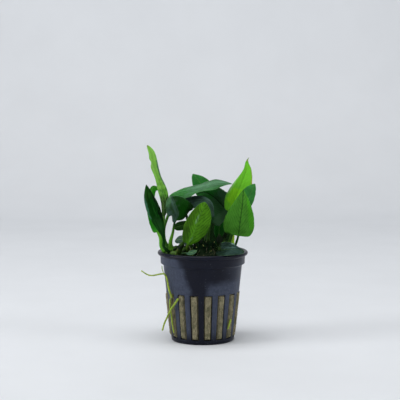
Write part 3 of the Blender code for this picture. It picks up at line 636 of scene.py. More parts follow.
LEAVES = {
    # A tall young leaf, still half rolled, leaning out over the left of the rim
    "leaf_left_tall": leaf(
        stalk=[(-19.4, -1.8, 51.4), (-21.2, -0.6, 55.8), (-21.6, 0, 62.5)],
        blade=[(-21.5, 0, 69.1), (-21.1, 0, 76.4), (-22.6, 1, 83.5), (-25.5, 1, 91.8), (-27.5, 0, 98.5),
               (-28.6, -0.5, 104.1), (-30.7, -1, 108.4)],
        facing=[(0.3, -1, 0.2), (0.2, -1, 0.1), (0.3, -1, 0)], half=(2.8, 3.4), shape=(0.45, 0.6),
        other_shape=(0.58, 0.54), fold=(12, 12), curl=(16, 16), lobe=0.03,
        nicks=((0, 0.76, 0.035, 0.52), (0, 0.55, 0.14, 0.38), (1, 0.55, 0.18, 0.36))),
    "leaf_left_front": leaf(
        stalk=[(-19.7, -8.9, 51.2), (-21.5, -9.2, 53.6)],
        blade=[(-21.3, -9.5, 56.7), (-23.9, -10.5, 63.2), (-27.7, -11.5, 72.1), (-29.9, -12, 79.8),
               (-30.8, -12, 87.8)],
        facing=[(0.1, -1, 0.3), (-0.15, -1, 0.2)], half=(3, 5.2), shape=(1.2, 0.9), other_shape=(1.05, 0.9),
        fold=(35, 10), curl=(10, 0), lobe=0.02, stalk_radius=(0.9, 0.7)),
    # Behind the one in front of it; its tip bends over to the right
    "leaf_left_rear": leaf(
        stalk=[(-21, -4.6, 50.7), (-22.8, -4, 53.2), (-23.2, -2.4, 57)],
        blade=[(-24.7, 0, 60.5), (-27, 2, 66.9), (-29, 3, 76.4), (-27.8, 4, 84.4), (-24.6, 5, 84.9)],
        facing=[(0, -1, 0.2), (0, -1, 0.1)], half=(3.1, 2.4), shape=(0.15, 0.7), other_shape=(0.65, 0.15),
        lobe=0.03, stalk_radius=(1.35, 1)),
    # Broad and folded along its midrib, its tip arching away to the rear
    "leaf_left_folded": leaf(
        stalk=[(-17.4, -7.4, 52.3), (-17.7, -9, 55.6), (-16.3, -10.5, 61.5)],
        blade=[(-15.4, -11.5, 66.9), (-13.3, -13.5, 71.6), (-14.8, -13, 76.6), (-16.5, -10, 80),
               (-17.6, -5.5, 80.9)],
        facing=[(0.1, -1, 0.3), (0, -0.9, 0.6), (0, -0.4, 1)], half=(5.7, 11.6), shape=(1.05, 1.2),
        other_shape=(2.4, 1.05), fold=(-1, 13), curl=(6, -2), droop=(1.5, 7.5), stalk_radius=(1.4, 0.55)),
    # The long leaf that crosses the top of the plant, nearly level, with a wavy margin
    "leaf_top_long": leaf(
        stalk=[(-19.4, -4.6, 52.4), (-21.3, -5, 56.9), (-21.2, -5.2, 63.6), (-18.7, -4.2, 71.3)],
        blade=[(-17.7, -2, 79.9), (-13.1, -1, 81.8), (-6.3, -1, 83.4), (1.6, -1, 85.2), (8.3, 0, 87),
               (16.5, 1, 86.8)],
        facing=[(-0.4, -1, 0.6), (0, -0.42, 0.94), (0, -0.38, 0.94), (0, -0.42, 0.94)], half=(6.2, 5.5),
        shape=(1.2, 0.85), other_shape=(1, 1.25), curl=(-5, -6), wave=((0.2, 1.3), 1.8, 0.38),
        stalk_radius=(1.1, 0.65)),
    "leaf_top_rear": leaf(
        stalk=[(2.9, 4.5, 51.5), (3.5, 7, 63.3), (4.1, 9, 71.5)],
        blade=[(4.1, 10, 75.9), (1.3, 11, 80.9), (-1.8, 12, 87), (-5.5, 13, 91.5)],
        facing=[(0, -1, 0.5)], half=(5, 6), shape=(0.6, 0.65), other_shape=(0.55, 1)),
    # Arches over to the right with its tip hanging down
    "leaf_centre_arched": leaf(
        stalk=[(-6.4, -5.6, 52.6), (-6.8, -2, 59.4), (-8.4, -1.5, 67.1), (-9.6, -1.5, 72.1)],
        blade=[(-10, -1.8, 75.5), (-5.9, -2.6, 77.1), (-1, -5.8, 78), (3.2, -9.5, 76.3), (6, -10.5, 69.8)],
        facing=[(0, -1, 0.6), (0.1, -1, 0.7), (0.7, -0.8, 0.4)], half=(3.6, 4.7), shape=(0.2, 0.6),
        other_shape=(0.5, 0.6), lobe=0.14, stalk_radius=(1.1, 0.65)),
    # The broadest leaf, seen from above its stalk, pointing left
    "leaf_centre_broad": leaf(
        stalk=[(13.6, 4.2, 52.3), (14.6, 6, 57.2), (16.1, 6.5, 62.8)],
        blade=[(16.2, 6, 67.9), (10.7, 5.5, 74.7), (5.7, 5.5, 79.4), (0.7, 6.5, 81.6), (-3.6, 8.5, 80.1)],
        facing=[(-0.2, -1, 0.4), (0, -1, 0.5), (0, -0.8, 0.7)], half=(11.5, 6.8), shape=(0.3, 0.9),
        other_shape=(0.5, 0.8), fold=(4, 8), curl=(10, 0), lobe=0.12),
    # Upright at the front, showing its underside
    "leaf_front_centre": leaf(
        stalk=[(-8.9, -11.6, 51.4), (-8.5, -13.2, 53.4)],
        blade=[(-7.9, -14, 55.5), (-5, -15.5, 61.6), (-1.8, -16.5, 69.9), (1.2, -16, 78.6)],
        facing=[(0.05, 1, 0), (0, 1, 0.1)], half=(7, 6.4), shape=(0.75, 0.7), other_shape=(0.45, 0.66),
        curl=(10, 5), stalk_radius=(1.3, 0.8)),
    # Upright at the front right, broad at its base, showing its underside
    "leaf_front_right": leaf(
        stalk=[(17.2, -3.4, 51.6), (18.6, -5.5, 55.4)],
        blade=[(19.5, -7, 59.1), (20.4, -9, 66.9), (21.6, -9.5, 76.3), (22.2, -8, 84.7)],
        facing=[(0, 1, 0), (0, 1, 0.1)], half=(8.2, 9), shape=(0.28, 0.95), curl=(14, 8), lobe=0.06,
        stalk_radius=(0.85, 0.6)),
    # The tallest leaf at the right, young, narrowing to a dry tip
    "leaf_right_upright": leaf(
        stalk=[(16.4, 2, 51.8), (16.7, 3, 56.5), (17, 2.5, 64.4)],
        blade=[(16, 2.5, 71.6), (17.5, 2.5, 77.8), (21.2, 3, 86.6), (23.9, 3, 94), (24.2, 3, 99.2),
               (25.8, 3, 101.8)],
        facing=[(-0.2, -1, 0.3), (0, -1, 0.1)], half=(5.3, 7.9), shape=(0.42, 1.5), other_shape=(0.5, 1.3),
        fold=(14, 0), lobe=0.05),
    "leaf_right_rear": leaf(
        stalk=[(14.6, -0.4, 51.9), (15.4, -0.8, 56.9), (19.5, -1.5, 67.1)],
        blade=[(22.2, -2.5, 72.2), (24.4, -2.8, 77.2), (26.6, -2, 82.4), (28.8, -0.5, 87.1)],
        facing=[(0, -1, 0.4)], half=(5.4, 3.2), shape=(0.5, 0.75), stalk_radius=(1, 0.65)),
    # Lies over the front right of the rim
    "leaf_low_right": leaf(
        stalk=[(9.2, -8, 52.4), (6.6, -14.2, 53)],
        blade=[(7.8, -17, 51.8), (11.8, -19.2, 53), (17.4, -20.2, 53.2), (22.7, -16.2, 51.6)],
        facing=[(0, -0.7, 0.7), (0.1, -0.7, 0.75)], half=(5.4, 4.3), shape=(0.2, 0.75),
        other_shape=(0.4, 0.7), lobe=0.03, stalk_radius=(0.9, 0.6)),
    "leaf_low_left": leaf(
        stalk=[(-4.4, -1.6, 52), (-6.3, 4, 52)],
        blade=[(-7.7, 6, 53), (-10.2, 6, 54.7), (-12.7, 7, 55.2), (-15.5, 8, 54.3)],
        facing=[(0, -0.6, 1)], half=(4, 4), shape=(0.5, 0.5), stalk_radius=(0.8, 0.6)),
    "leaf_left_low": leaf(
        stalk=[(-2.8, -5.2, 52.6), (-4, -4, 57)],
        blade=[(-6, -4, 62.6), (-9.2, -4.4, 64.4), (-12.5, -5.2, 64.2), (-15.7, -6, 63)],
        facing=[(-0.3, -1, 0.6), (0, -1, 0.6)], half=(3, 2.8), shape=(0.4, 0.4), stalk_radius=(0.9, 0.6)),
    # A small leaf lying against the front of the rim
    "leaf_rim": leaf(
        stalk=[(-11.2, -14.6, 50.2), (-9.9, -18, 50.9)],
        blade=[(-8.4, -20.2, 51.2), (-6.1, -21.3, 51.6), (-3.1, -20.6, 52.8)],
        facing=[(0, -0.6, 1)], half=(2, 1.9), shape=(0.5, 0.7), stalk_radius=(0.7, 0.55)),
    "leaf_centre_rear": leaf(
        stalk=[(7.2, 2.4, 52), (7.6, 6, 53.8)],
        blade=[(8.6, 8, 56.1), (9.1, 9, 59.1), (9.7, 10, 63.5), (10.3, 11, 68.4)],
        facing=[(0, -1, 0.3)], half=(3, 3), stalk_radius=(0.9, 0.6)),
    # The rear of the plant
    "leaf_back_tall": leaf(
        stalk=[(0.4, 3.4, 51.6), (0.6, 8.6, 51.2)],
        blade=[(0.8, 12, 52.6), (2.4, 15.5, 62.5), (3.6, 18.5, 73)],
        facing=[(0.1, -1, 1.2), (0, -1, 1.6)], half=(6.6, 7), shape=(0.7, 0.9), other_shape=(0.3, 0.9)),
    "leaf_back_right": leaf(
        stalk=[(11.2, 5.7, 51.4), (15.4, 11.6, 53.8)],
        blade=[(17.7, 15, 58.9), (20, 18, 67.1), (21.1, 19, 74.4)],
        facing=[(0.1, -1, 1.2), (0, -1, 1.6)], half=(7, 7), shape=(0.5, 0.9)),
    "leaf_back_left": leaf(
        stalk=[(-2.6, 2.6, 51.6), (-3.2, 11, 52.6)],
        blade=[(-3.8, 17, 55.8), (-3.8, 20, 60), (-3.2, 23, 63.6)],
        facing=[(0.1, -0.5, 1.2), (0, -0.6, 1.6)], half=(5, 5), shape=(0.5, 0.9)),
    "leaf_back_centre": leaf(
        stalk=[(8, 5.6, 51.6), (8.2, 11, 51.2)],
        blade=[(8.5, 14.5, 52.6), (10.2, 18.5, 60.5), (12, 21, 68)],
        facing=[(0, -1, 1.2), (0, -1, 1.6)], half=(6.5, 5.8), shape=(0.3, 0.9)),
}

DEFAULT_LOOK = dict(
    upper=(50, 100, 40), under=(66, 108, 54), stalk_colour=(60, 104, 36), patches=(), ruffle=0.3,
    gloss=0.18, glow=0.12, roughness=0.45, vein_pitch=2, vein_tone=0.2, vein_colour=(70, 124, 56),
    rib_colour=(104, 146, 76), rib_tone=0.5, margin_colour=(110, 150, 100), margin_tone=0.35, mottle=0.3,
    streak_tone=0.1, shows_under=0.35, stalk_fade=0.8)

# What differs from the default look; patches hold tints, painted sheen, painted highlights and painted shade.
# A patch is (share, across, reach along, reach across, colour, strength).
LOOKS = {
    "leaf_left_tall": dict(
        upper=(130, 196, 70), under=(62, 108, 62), stalk_colour=(80, 136, 36), glow=0.2, ruffle=0.2,
        vein_colour=(160, 210, 112), vein_tone=0.12, rib_tone=0.2, margin_tone=0.15, mottle=0.1,
        streak_tone=0.4,
        patches=((0, 0, 0.42, 1.8, (60, 134, 24), 0.9), (0, 0.2, 0.27, 1.8, (4, 50, 2), 1),
                 (0.62, 1, 0.2, 0.4, (50, 102, 70), 0.95), (1, 0, 0.02, 1.4, (120, 92, 44), 0.8))),
    # The bluish-grey strip along its left margin is painted sheen
    "leaf_left_front": dict(
        upper=(6, 56, 6), under=(30, 70, 40), stalk_colour=(24, 66, 22), gloss=0.03,
        vein_colour=(34, 100, 34), vein_tone=0.1, vein_pitch=3, rib_colour=(8, 56, 8), margin_tone=0.1,
        streak_tone=0.5,
        patches=((0.66, -0.9, 0.2, 0.4, (70, 116, 96), 0.95), (0.62, 0.9, 0.3, 0.3, (2, 14, 4), 0.95),
                 (0.25, 0.1, 0.16, 0.6, (40, 84, 40), 0.6), (0.88, -0.2, 0.14, 0.8, (30, 70, 14), 0.8))),
    "leaf_left_rear": dict(
        upper=(34, 122, 16), under=(50, 116, 30), stalk_colour=(100, 170, 48), gloss=0.06, vein_tone=0.1,
        patches=((0.95, 0, 0.2, 1.5, (44, 146, 14), 0.8),)),
    # Bluish painted sheen over its left half and near its tip, a painted highlight along the fold, and
    # painted shade along its right margin
    "leaf_left_folded": dict(
        upper=(6, 52, 2), under=(30, 62, 30), stalk_colour=(96, 160, 44), gloss=0.03,
        vein_colour=(30, 84, 24), stalk_fade=10, vein_tone=0.15, rib_colour=(60, 84, 76), margin_tone=0.1,
        patches=((0.45, -0.6, 0.9, 0.66, (38, 64, 40), 1), (0.45, -0.24, 0.5, 0.12, (60, 86, 76), 0.9),
                 (0.2, -0.8, 0.3, 0.4, (72, 96, 92), 0.5), (0.85, -0.8, 0.25, 0.6, (74, 116, 80), 0.7),
                 (0.5, 0.95, 0.4, 0.2, (3, 22, 2), 0.8))),
    # Its grey-green colour and the pale patch in its middle are painted sheen; its foot and right margin keep
    # the leaf's plain green
    "leaf_top_long": dict(
        upper=(56, 106, 64), under=(54, 108, 46), stalk_colour=(58, 110, 30), gloss=0.12, roughness=0.5,
        vein_colour=(100, 144, 110), rib_colour=(40, 92, 44), rib_tone=0.4, streak_tone=0.4,
        patches=((0.06, 0, 0.24, 1.6, (38, 118, 34), 0.95), (0.6, -0.3, 0.3, 0.4, (88, 134, 100), 0.6),
                 (0.5, 0.85, 0.5, 0.35, (44, 108, 46), 0.85))),
    "leaf_top_rear": dict(
        upper=(42, 118, 46), gloss=0.08, vein_colour=(70, 140, 66), vein_tone=0.3, rib_tone=0.2,
        margin_tone=0.5, margin_colour=(90, 156, 90)),
    # Its blue-grey colour holds painted sheen, and the pale strip along its left margin is a painted
    # highlight
    "leaf_centre_arched": dict(
        upper=(38, 62, 48), under=(36, 58, 44), stalk_colour=(26, 56, 22), gloss=0.05,
        vein_colour=(66, 92, 84), vein_tone=0.15, rib_colour=(28, 48, 34), rib_tone=0.3, streak_tone=0.45,
        margin_colour=(84, 110, 102), margin_tone=0.25,
        patches=((0.4, -0.85, 0.45, 0.25, (64, 90, 82), 0.7), (0.8, -0.8, 0.2, 0.5, (34, 56, 44), 0.8))),
    # The near-black midrib is painted shade in its groove; the pale grey-green patches by the foot and on the
    # right half are painted sheen
    "leaf_centre_broad": dict(
        upper=(32, 72, 36), under=(34, 64, 36), stalk_colour=(26, 60, 22), gloss=0.05,
        vein_colour=(56, 96, 60), vein_tone=0.3, streak_tone=0.2, rib_colour=(8, 30, 8), rib_tone=0.85,
        margin_colour=(96, 140, 96), mottle=0.15,
        patches=((0.8, 0, 0.22, 1.2, (10, 88, 14), 0.85), (0.1, -0.6, 0.16, 0.6, (52, 86, 56), 0.9),
                 (0.35, 0.7, 0.2, 0.5, (50, 88, 60), 0.7))),
    # The pale streak across its middle and the pale spot on the midrib near its foot are painted highlights
    "leaf_front_centre": dict(
        upper=(60, 108, 24), under=(80, 140, 26), stalk_colour=(70, 104, 28), gloss=0.05, ruffle=0.2,
        vein_pitch=2.7, vein_colour=(34, 58, 12), vein_tone=0.6, rib_colour=(90, 140, 52), rib_tone=0.35,
        mottle=0.35, margin_colour=(84, 150, 40), shows_under=1, streak_tone=0.25,
        patches=((0.62, 0.16, 0.12, 0.08, (116, 158, 108), 0.7), (0.15, 0.6, 0.2, 0.5, (44, 90, 14), 0.6),
                 (0.5, 0.8, 0.5, 0.4, (48, 78, 16), 0.6), (0.12, -0.1, 0.07, 0.12, (110, 160, 110), 0.6))),
    # The dark patch at its foot is painted shade
    "leaf_front_right": dict(
        upper=(52, 100, 34), under=(76, 142, 44), stalk_colour=(44, 88, 28), gloss=0.05, ruffle=0.2,
        vein_pitch=2.4, vein_colour=(30, 80, 20), vein_tone=0.45, rib_colour=(16, 52, 12), rib_tone=0.7,
        margin_colour=(84, 160, 50), shows_under=1, streak_tone=0.2,
        patches=((0, 0.8, 0.06, 0.3, (14, 44, 10), 0.8), (0.5, -0.85, 0.4, 0.3, (74, 160, 30), 0.8))),
    # The dark patch at its foot is painted shade and the pale strip along its left margin a painted
    # highlight; the yellow-brown margin and the dry tip are its own
    "leaf_right_upright": dict(
        upper=(118, 204, 52), under=(80, 140, 50), stalk_colour=(170, 214, 60), glow=0.2, gloss=0.06,
        vein_colour=(84, 172, 24), vein_tone=0.25, rib_colour=(70, 150, 24), rib_tone=0.3, mottle=0.08,
        streak_tone=0.3,
        patches=((0.03, 0.6, 0.1, 0.5, (48, 106, 12), 0.8), (0.5, 0.97, 0.35, 0.1, (160, 146, 50), 0.8),
                 (0.97, 0, 0.05, 1.2, (168, 156, 100), 0.9), (0.25, -0.1, 0.16, 0.7, (146, 226, 36), 0.8),
                 (0.4, -1, 0.2, 0.2, (160, 210, 130), 0.8))),
    "leaf_right_rear": dict(upper=(52, 128, 54), gloss=0.06, margin_tone=0.2, rib_tone=0.2),
    # Its grey-blue colour holds painted sheen, and the pale streaks across its middle are painted sheen and a
    # painted highlight
    "leaf_low_right": dict(
        upper=(32, 54, 46), under=(30, 54, 32), stalk_colour=(30, 60, 26), gloss=0.03, roughness=0.6,
        vein_colour=(74, 100, 94), vein_tone=0.3, rib_tone=0.1, mottle=0.5, streak_tone=0.3,
        patches=((0.05, 0, 0.3, 1.8, (4, 28, 8), 0.95), (0.97, 0, 0.1, 1, (16, 32, 14), 0.9),
                 (0.5, -0.3, 0.2, 0.12, (80, 108, 102), 0.6), (0.6, 0.5, 0.25, 0.3, (46, 72, 64), 0.5),
                 (0.34, -0.8, 0.3, 0.52, (2, 24, 8), 1), (0.56, -0.86, 0.1, 0.12, (120, 150, 138), 0.8))),
    # Its grey-blue upper colour holds painted sheen
    "leaf_low_left": dict(
        upper=(58, 82, 72), under=(34, 56, 40), stalk_colour=(26, 56, 20), gloss=0.1, vein_tone=0.1),
    "leaf_left_low": dict(
        upper=(16, 52, 8), under=(22, 56, 14), stalk_colour=(22, 54, 16), gloss=0.05, rib_tone=0.2,
        margin_tone=0.1),
    # Its grey-blue upper colour holds painted sheen
    "leaf_rim": dict(
        upper=(52, 88, 68), under=(44, 76, 52), stalk_colour=(40, 70, 34), ruffle=0.12, vein_tone=0.1,
        gloss=0.1, mottle=0.5),
    "leaf_centre_rear": dict(
        upper=(6, 80, 14), under=(16, 70, 20), stalk_colour=(16, 50, 16), gloss=0.05, rib_tone=0.2,
        margin_tone=0.1),
    # The back leaves' upper sides are near-black as painted shade at the rear of the plant; their undersides
    # keep the leaf's green
    "leaf_back_tall": dict(upper=(10, 30, 10), under=(44, 88, 38), stalk_colour=(16, 40, 12), gloss=0.06),
    "leaf_back_right": dict(upper=(14, 40, 14), under=(46, 90, 40), stalk_colour=(20, 46, 14), gloss=0.06),
    "leaf_back_left": dict(upper=(14, 38, 12), under=(44, 86, 36), stalk_colour=(18, 42, 14), gloss=0.06),
    "leaf_back_centre": dict(upper=(10, 28, 10), under=(44, 86, 36), stalk_colour=(18, 42, 14), gloss=0.06),
}

LEAF_SLOTS = {
    "leaf_young": ("leaf_left_tall", "leaf_right_upright"),
    "leaf_dark": ("leaf_left_front", "leaf_left_folded", "leaf_centre_arched", "leaf_centre_broad",
                  "leaf_left_low"),
    "leaf_grey": ("leaf_top_long", "leaf_low_right", "leaf_low_left", "leaf_rim"),
}


def leaf_slot(name):
    for slot, names in LEAF_SLOTS.items():
        if name in names:
            return slot
    return "leaf_green"


# Net pot


def wall_radius(z):
    """Outer radius of the tapered wall below the collar."""
    return BASE_RADIUS + (WALL_TOP_RADIUS - BASE_RADIUS) * z / WALL_TOP


def wall_rows(heights, inset=0.0):
    """Points (r, z) of the profile up or down the wall."""
    return [(wall_radius(z) - inset, z) for z in heights]


def pot_profile():
    """From the middle of the floor up the inside, over the lip and down the outside, as (r, z)."""
    levels = [SLOT_BOTTOM, *np.linspace(SLOT_BOTTOM, SLOT_TOP, 11)[1:-1], SLOT_TOP]
    inside = [(r, FLOOR) for r in (CORE_RADIUS, BASE_SLOT_INNER, BASE_SLOT_OUTER)]
    inside += wall_rows((FLOOR, *levels, *UPPER_ROWS, WALL_TOP), WALL)
    inside += [(COLLAR_RADIUS - WALL, COLLAR_BOTTOM + STEP_DEPTH),
               (COLLAR_RADIUS - WALL + COLLAR_DRAFT, LIP_BOTTOM - 0.6)]
    lip = []
    for degrees in np.linspace(180, -55, 15):
        angle = math.radians(degrees)
        lip.append((RIM_RADIUS - LIP_RADIUS + LIP_RADIUS * math.cos(angle),
                    POT_HEIGHT - LIP_RADIUS + LIP_RADIUS * math.sin(angle)))
    outside = [(COLLAR_RADIUS + COLLAR_DRAFT, LIP_BOTTOM - 0.3),
               (COLLAR_RADIUS - COLLAR_DRAFT, COLLAR_BOTTOM), (WALL_TOP_RADIUS, WALL_TOP)]
    outside += wall_rows((*UPPER_ROWS[::-1], *levels[::-1], FOOT_BEVEL))
    outside += [(r, 0.0) for r in (BASE_RADIUS - FOOT_BEVEL, BASE_SLOT_OUTER, BASE_SLOT_INNER, CORE_RADIUS)]
    return inside + lip + outside


def pot_columns():
    """Angles of the mesh columns around the pot, and the slot that each one starts a cell of, if any."""
    angles, slots = [], []
    web = SLOT_PITCH - 2 * SLOT_HALF
    for k in range(SLOTS):
        middle = FIRST_SLOT + SLOT_PITCH * k
        angles += list(middle - SLOT_HALF + np.arange(SLOT_COLUMNS) * 2 * SLOT_HALF / SLOT_COLUMNS)
        angles += list(middle + SLOT_HALF + np.arange(WEB_COLUMNS) * web / WEB_COLUMNS)
        slots += [k] * SLOT_COLUMNS + [None] * WEB_COLUMNS
    return angles, slots


def cell_face(a, b, j):
    """The face between rows a and b of the pot's grid in the cell that starts at column j."""
    k = (j + 1) % COLUMNS
    return (a * COLUMNS + j, a * COLUMNS + k, b * COLUMNS + k, b * COLUMNS + j)


def side_face(rows, column):
    """The face between four rows in one column, at the side of a slot."""
    return tuple(row * COLUMNS + column % COLUMNS for row in rows)


def pot_faces(profile, slots):
    """The pot's grid without its slots, their sides closed. Every other slot goes on in the base."""
    outer = {z: i for i, (r, z) in enumerate(profile) if abs(r - wall_radius(z)) < 1e-6}
    inner = {z: i for i, (r, z) in enumerate(profile) if abs(r - wall_radius(z) + WALL) < 1e-6}
    levels = sorted(z for z in outer if SLOT_BOTTOM <= z <= SLOT_TOP)
    low, high = levels[0], levels[-1]
    floor_in, floor_out, foot_in, foot_out = (
        profile.index((r, z)) for z in (FLOOR, 0.0) for r in (BASE_SLOT_INNER, BASE_SLOT_OUTER))
    open_rows = {inner[z] for z in levels[:-1]} | {outer[z] for z in levels[1:]}
    faces = []
    for i in range(len(profile) - 1):
        for j, slot in enumerate(slots):
            in_base = i in (floor_in, foot_out) and slot is not None and slot % 2 == 0
            if not in_base and (slot is None or i not in open_rows):
                faces.append(cell_face(i, i + 1, j))
    for j, slot in enumerate(slots):
        if slot is None:
            continue
        ends = [j] * (slots[j - 1] != slot) + [j + 1] * (slots[(j + 1) % COLUMNS] != slot)
        faces += [cell_face(inner[low], outer[low], j), cell_face(outer[high], inner[high], j)]
        faces += [side_face((inner[z], inner[above], outer[above], outer[z]), column)
                  for column in ends for z, above in zip(levels, levels[1:])]
        if slot % 2 == 0:
            faces += [cell_face(floor_in, foot_in, j), cell_face(foot_out, floor_out, j)]
            faces += [side_face((floor_in, floor_out, foot_out, foot_in), column) for column in ends]
    return faces


def painted_reflection_mask(points):
    """How strongly the painted reflection lightens the wall, 0 to 1: in broad patches left and right of a
    dark part at the front.
    """
    turn = np.degrees(np.arctan2(points[:, 0], -points[:, 1])) + 3 * rough(points, 6.0, 8.0)
    z = points[:, 2] + 0.8 * rough(points, 4.0, 9.0)
    left = clamp((-31 + 1.05 * np.clip(47 - z, 0, 16) - turn) / 10) * clamp((turn + 140) / 60)
    right = clamp((turn - 2) / 9) * clamp((35.0 + 0.04 * turn - z) / 4)
    far = 0.5 * clamp((turn - 36) / 30) * clamp((47.6 - z) / 2)
    rear = clamp((140 - turn) / 60)
    low = clamp((z - 2) / 6)
    return np.maximum(left, np.maximum(right, far) * rear) * low * (points[:, 2] < LIP_BOTTOM)


def pot_piece():
    """The pot turned on a grid that follows the slots, with its moulded edges rounded."""
    profile = pot_profile()
    angles, slots = pot_columns()
    points = [(r * math.cos(a), r * math.sin(a), z) for r, z in profile for a in angles]
    points += [(0.0, 0.0, FLOOR), (0.0, 0.0, 0.0)]
    piece = add_mesh("net_pot_surface", points, pot_faces(profile, slots) + end_fans(len(profile), COLUMNS))
    face_outwards(piece)
    set_values(piece.data, {"painted_reflection": painted_reflection_mask(np.array([v.co for v in piece.data.vertices]) / MM)})
    bevel = piece.modifiers.new("moulded_edges", "BEVEL")
    bevel.width = MOULDED_EDGE * MM
    bevel.segments = 2
    bevel.limit_method = "ANGLE"
    bevel.angle_limit = math.radians(50)
    return piece


# Rock wool


def wool_height(x, y):
    """Height of the wool's top: a low dome with one flat-topped tuft at the front."""
    edge = (np.hypot(x, y) / COLLAR_RADIUS) ** 2
    across = (x - TUFT_CENTRE[0]) / TUFT_HALF[0]
    deep = (y - TUFT_CENTRE[1]) / TUFT_HALF[1]
    return WOOL_TOP - WOOL_DOME * edge + TUFT_HEIGHT * np.exp(-across**4 - deep**4)


def overgrown(points):
    """How far green growth covers the wool, 0 to 1: on the tuft and around it, thinly elsewhere on top."""
    aside = (points[:, 0] - TUFT_CENTRE[0] - 1.5) / 13.0
    behind = (points[:, 1] - TUFT_CENTRE[1] - 3.0) / 11.0
    return np.clip(2.2 - 2 * np.hypot(aside, behind), THIN_GROWTH, 1) * (points[:, 2] > TOP_EDGE)


def slot_swell(angles):
    """0 behind the wall to 1 in the middle of a slot, at angles around the pot."""
    turn = (angles - FIRST_SLOT + SLOT_PITCH / 2) % SLOT_PITCH - SLOT_PITCH / 2
    return clamp(1 - (np.abs(turn) / (SLOT_HALF - 0.022)) ** 6)


def wool_rings(angles):
    """Rings up the side of the plug, swelling out of the slots, then in over its top."""
    swell = slot_swell(angles)
    swollen = np.linspace(SLOT_BOTTOM + GAP, SLOT_TOP - GAP, SWOLLEN_RINGS)
    rings = []
    for z in (WOOL_BOTTOM, *swollen, *SHOULDER_RINGS):
        ends = clamp(min(z - SLOT_BOTTOM - GAP, SLOT_TOP - GAP - z) / 0.7)
        radius = wall_radius(z) - WALL - GAP + (WALL + GAP + WOOL_BULGE) * swell * math.sqrt(ends)
        rings.append(np.stack([radius * np.cos(angles), radius * np.sin(angles), np.full(len(angles), z)], 1))
    rim = WALL_TOP_RADIUS - WALL - GAP
    for share in np.linspace(1, 0.02, TOP_RINGS):
        x, y = rim * share * np.cos(angles), rim * share * np.sin(angles)
        rings.append(np.stack([x, y, wool_height(x, y)], 1))
    return rings


def wool_piece():
    """The lumpy plug: it fills the wall, swells out of the slots and rises to a tuft."""
    rings = wool_rings(np.arange(WOOL_COLUMNS) * 2 * math.pi / WOOL_COLUMNS)
    points = np.vstack(rings)
    out = points * (1, 1, 0)
    out = out / np.maximum(lengths(out), 1e-9)
    lump = rough(points, 2.4, 3.0, 4)
    grit = rough(points, 0.7, 5.0, 2)
    top = points[:, 2] > TOP_EDGE
    side = ~top & (np.hypot(points[:, 0], points[:, 1]) > wall_radius(points[:, 2]) - WALL)
    points[side] += out[side] * (0.3 * lump[side] + 0.12 * grit[side])[:, None]
    points[top, 2] += 0.35 * lump[top] + 0.2 * grit[top]
    points = np.vstack([points, [[0, 0, WOOL_BOTTOM], [0, 0, wool_height(0.0, 0.0)]]])
    faces = ring_faces(len(rings), WOOL_COLUMNS) + end_fans(len(rings), WOOL_COLUMNS)
    piece = add_mesh("rock_wool_plug", points, [face[::-1] for face in faces], {"grown": overgrown(points)})
    face_outwards(piece)
    return piece


def strand_piece(name, strands):
    """Many thin three-sided strands in one piece, each (points, radius)."""
    points, faces = [], []
    for line, thickness in strands:
        line = np.asarray(line)
        n = len(line)
        along = np.gradient(line, axis=0)
        along /= np.maximum(lengths(along), 1e-9)
        helper = np.where(np.abs(along[:, 2:]) > 0.8, [[1.0, 0.0, 0.0]], [[0.0, 0.0, 1.0]])
        side = np.cross(along, helper)
        side /= np.maximum(lengths(side), 1e-9)
        up = np.cross(side, along)
        start = len(points)
        taper = np.linspace(1, 0.5, n)[:, None] * thickness
        for k in range(3):
            angle = -2 * math.pi * k / 3
            points += list(line + (side * math.cos(angle) + up * math.sin(angle)) * taper)
        for k in range(3):
            a, b = start + k * n, start + (k + 1) % 3 * n
            faces += [(a + i, b + i, b + i + 1, a + i + 1) for i in range(n - 1)]
        faces += [(start, start + 2 * n, start + n), (start + n - 1, start + 2 * n - 1, start + 3 * n - 1)]
    return add_mesh(name, points, faces)


def wander(start, heading, length, steps, bend, rng):
    """A line that strays from its heading as it goes."""
    line = [np.asarray(start, float)]
    heading = unit(heading)
    for _ in range(steps):
        heading = unit(heading + rng.normal(0, bend, 3))
        line.append(line[-1] + heading * length / steps)
    return line


def slot_strands(rng, count):
    """Fibres that lie on the wool in the slots."""
    strands = []
    for _ in range(count):
        angle = FIRST_SLOT + SLOT_PITCH * rng.integers(SLOTS) + rng.uniform(-STRAND_SPREAD, STRAND_SPREAD)
        z = rng.uniform(SLOT_BOTTOM + 1.2, SLOT_TOP - 1.2)
        tilt = rng.uniform(-1, 1)
        length = rng.uniform(1.2, 3.2)
        line = []
        for s in np.linspace(-0.5, 0.5, 6):
            turn = angle + s * length * math.cos(tilt) / 18 + rng.normal(0, 0.002)
            turn = np.clip(turn, angle - 0.08, angle + 0.08)
            level = z + s * length * math.sin(tilt) + rng.normal(0, 0.06)
            level = np.clip(level, SLOT_BOTTOM + 0.6, SLOT_TOP - 0.6)
            swell = (WALL + GAP + WOOL_BULGE) * float(slot_swell(turn))
            radius = wall_radius(level) - WALL - GAP + swell + rng.uniform(-0.05, 0.22)
            line.append((radius * math.cos(turn), radius * math.sin(turn), level))
        strands.append((line, rng.uniform(*STRAND_RADII)))
    return strands


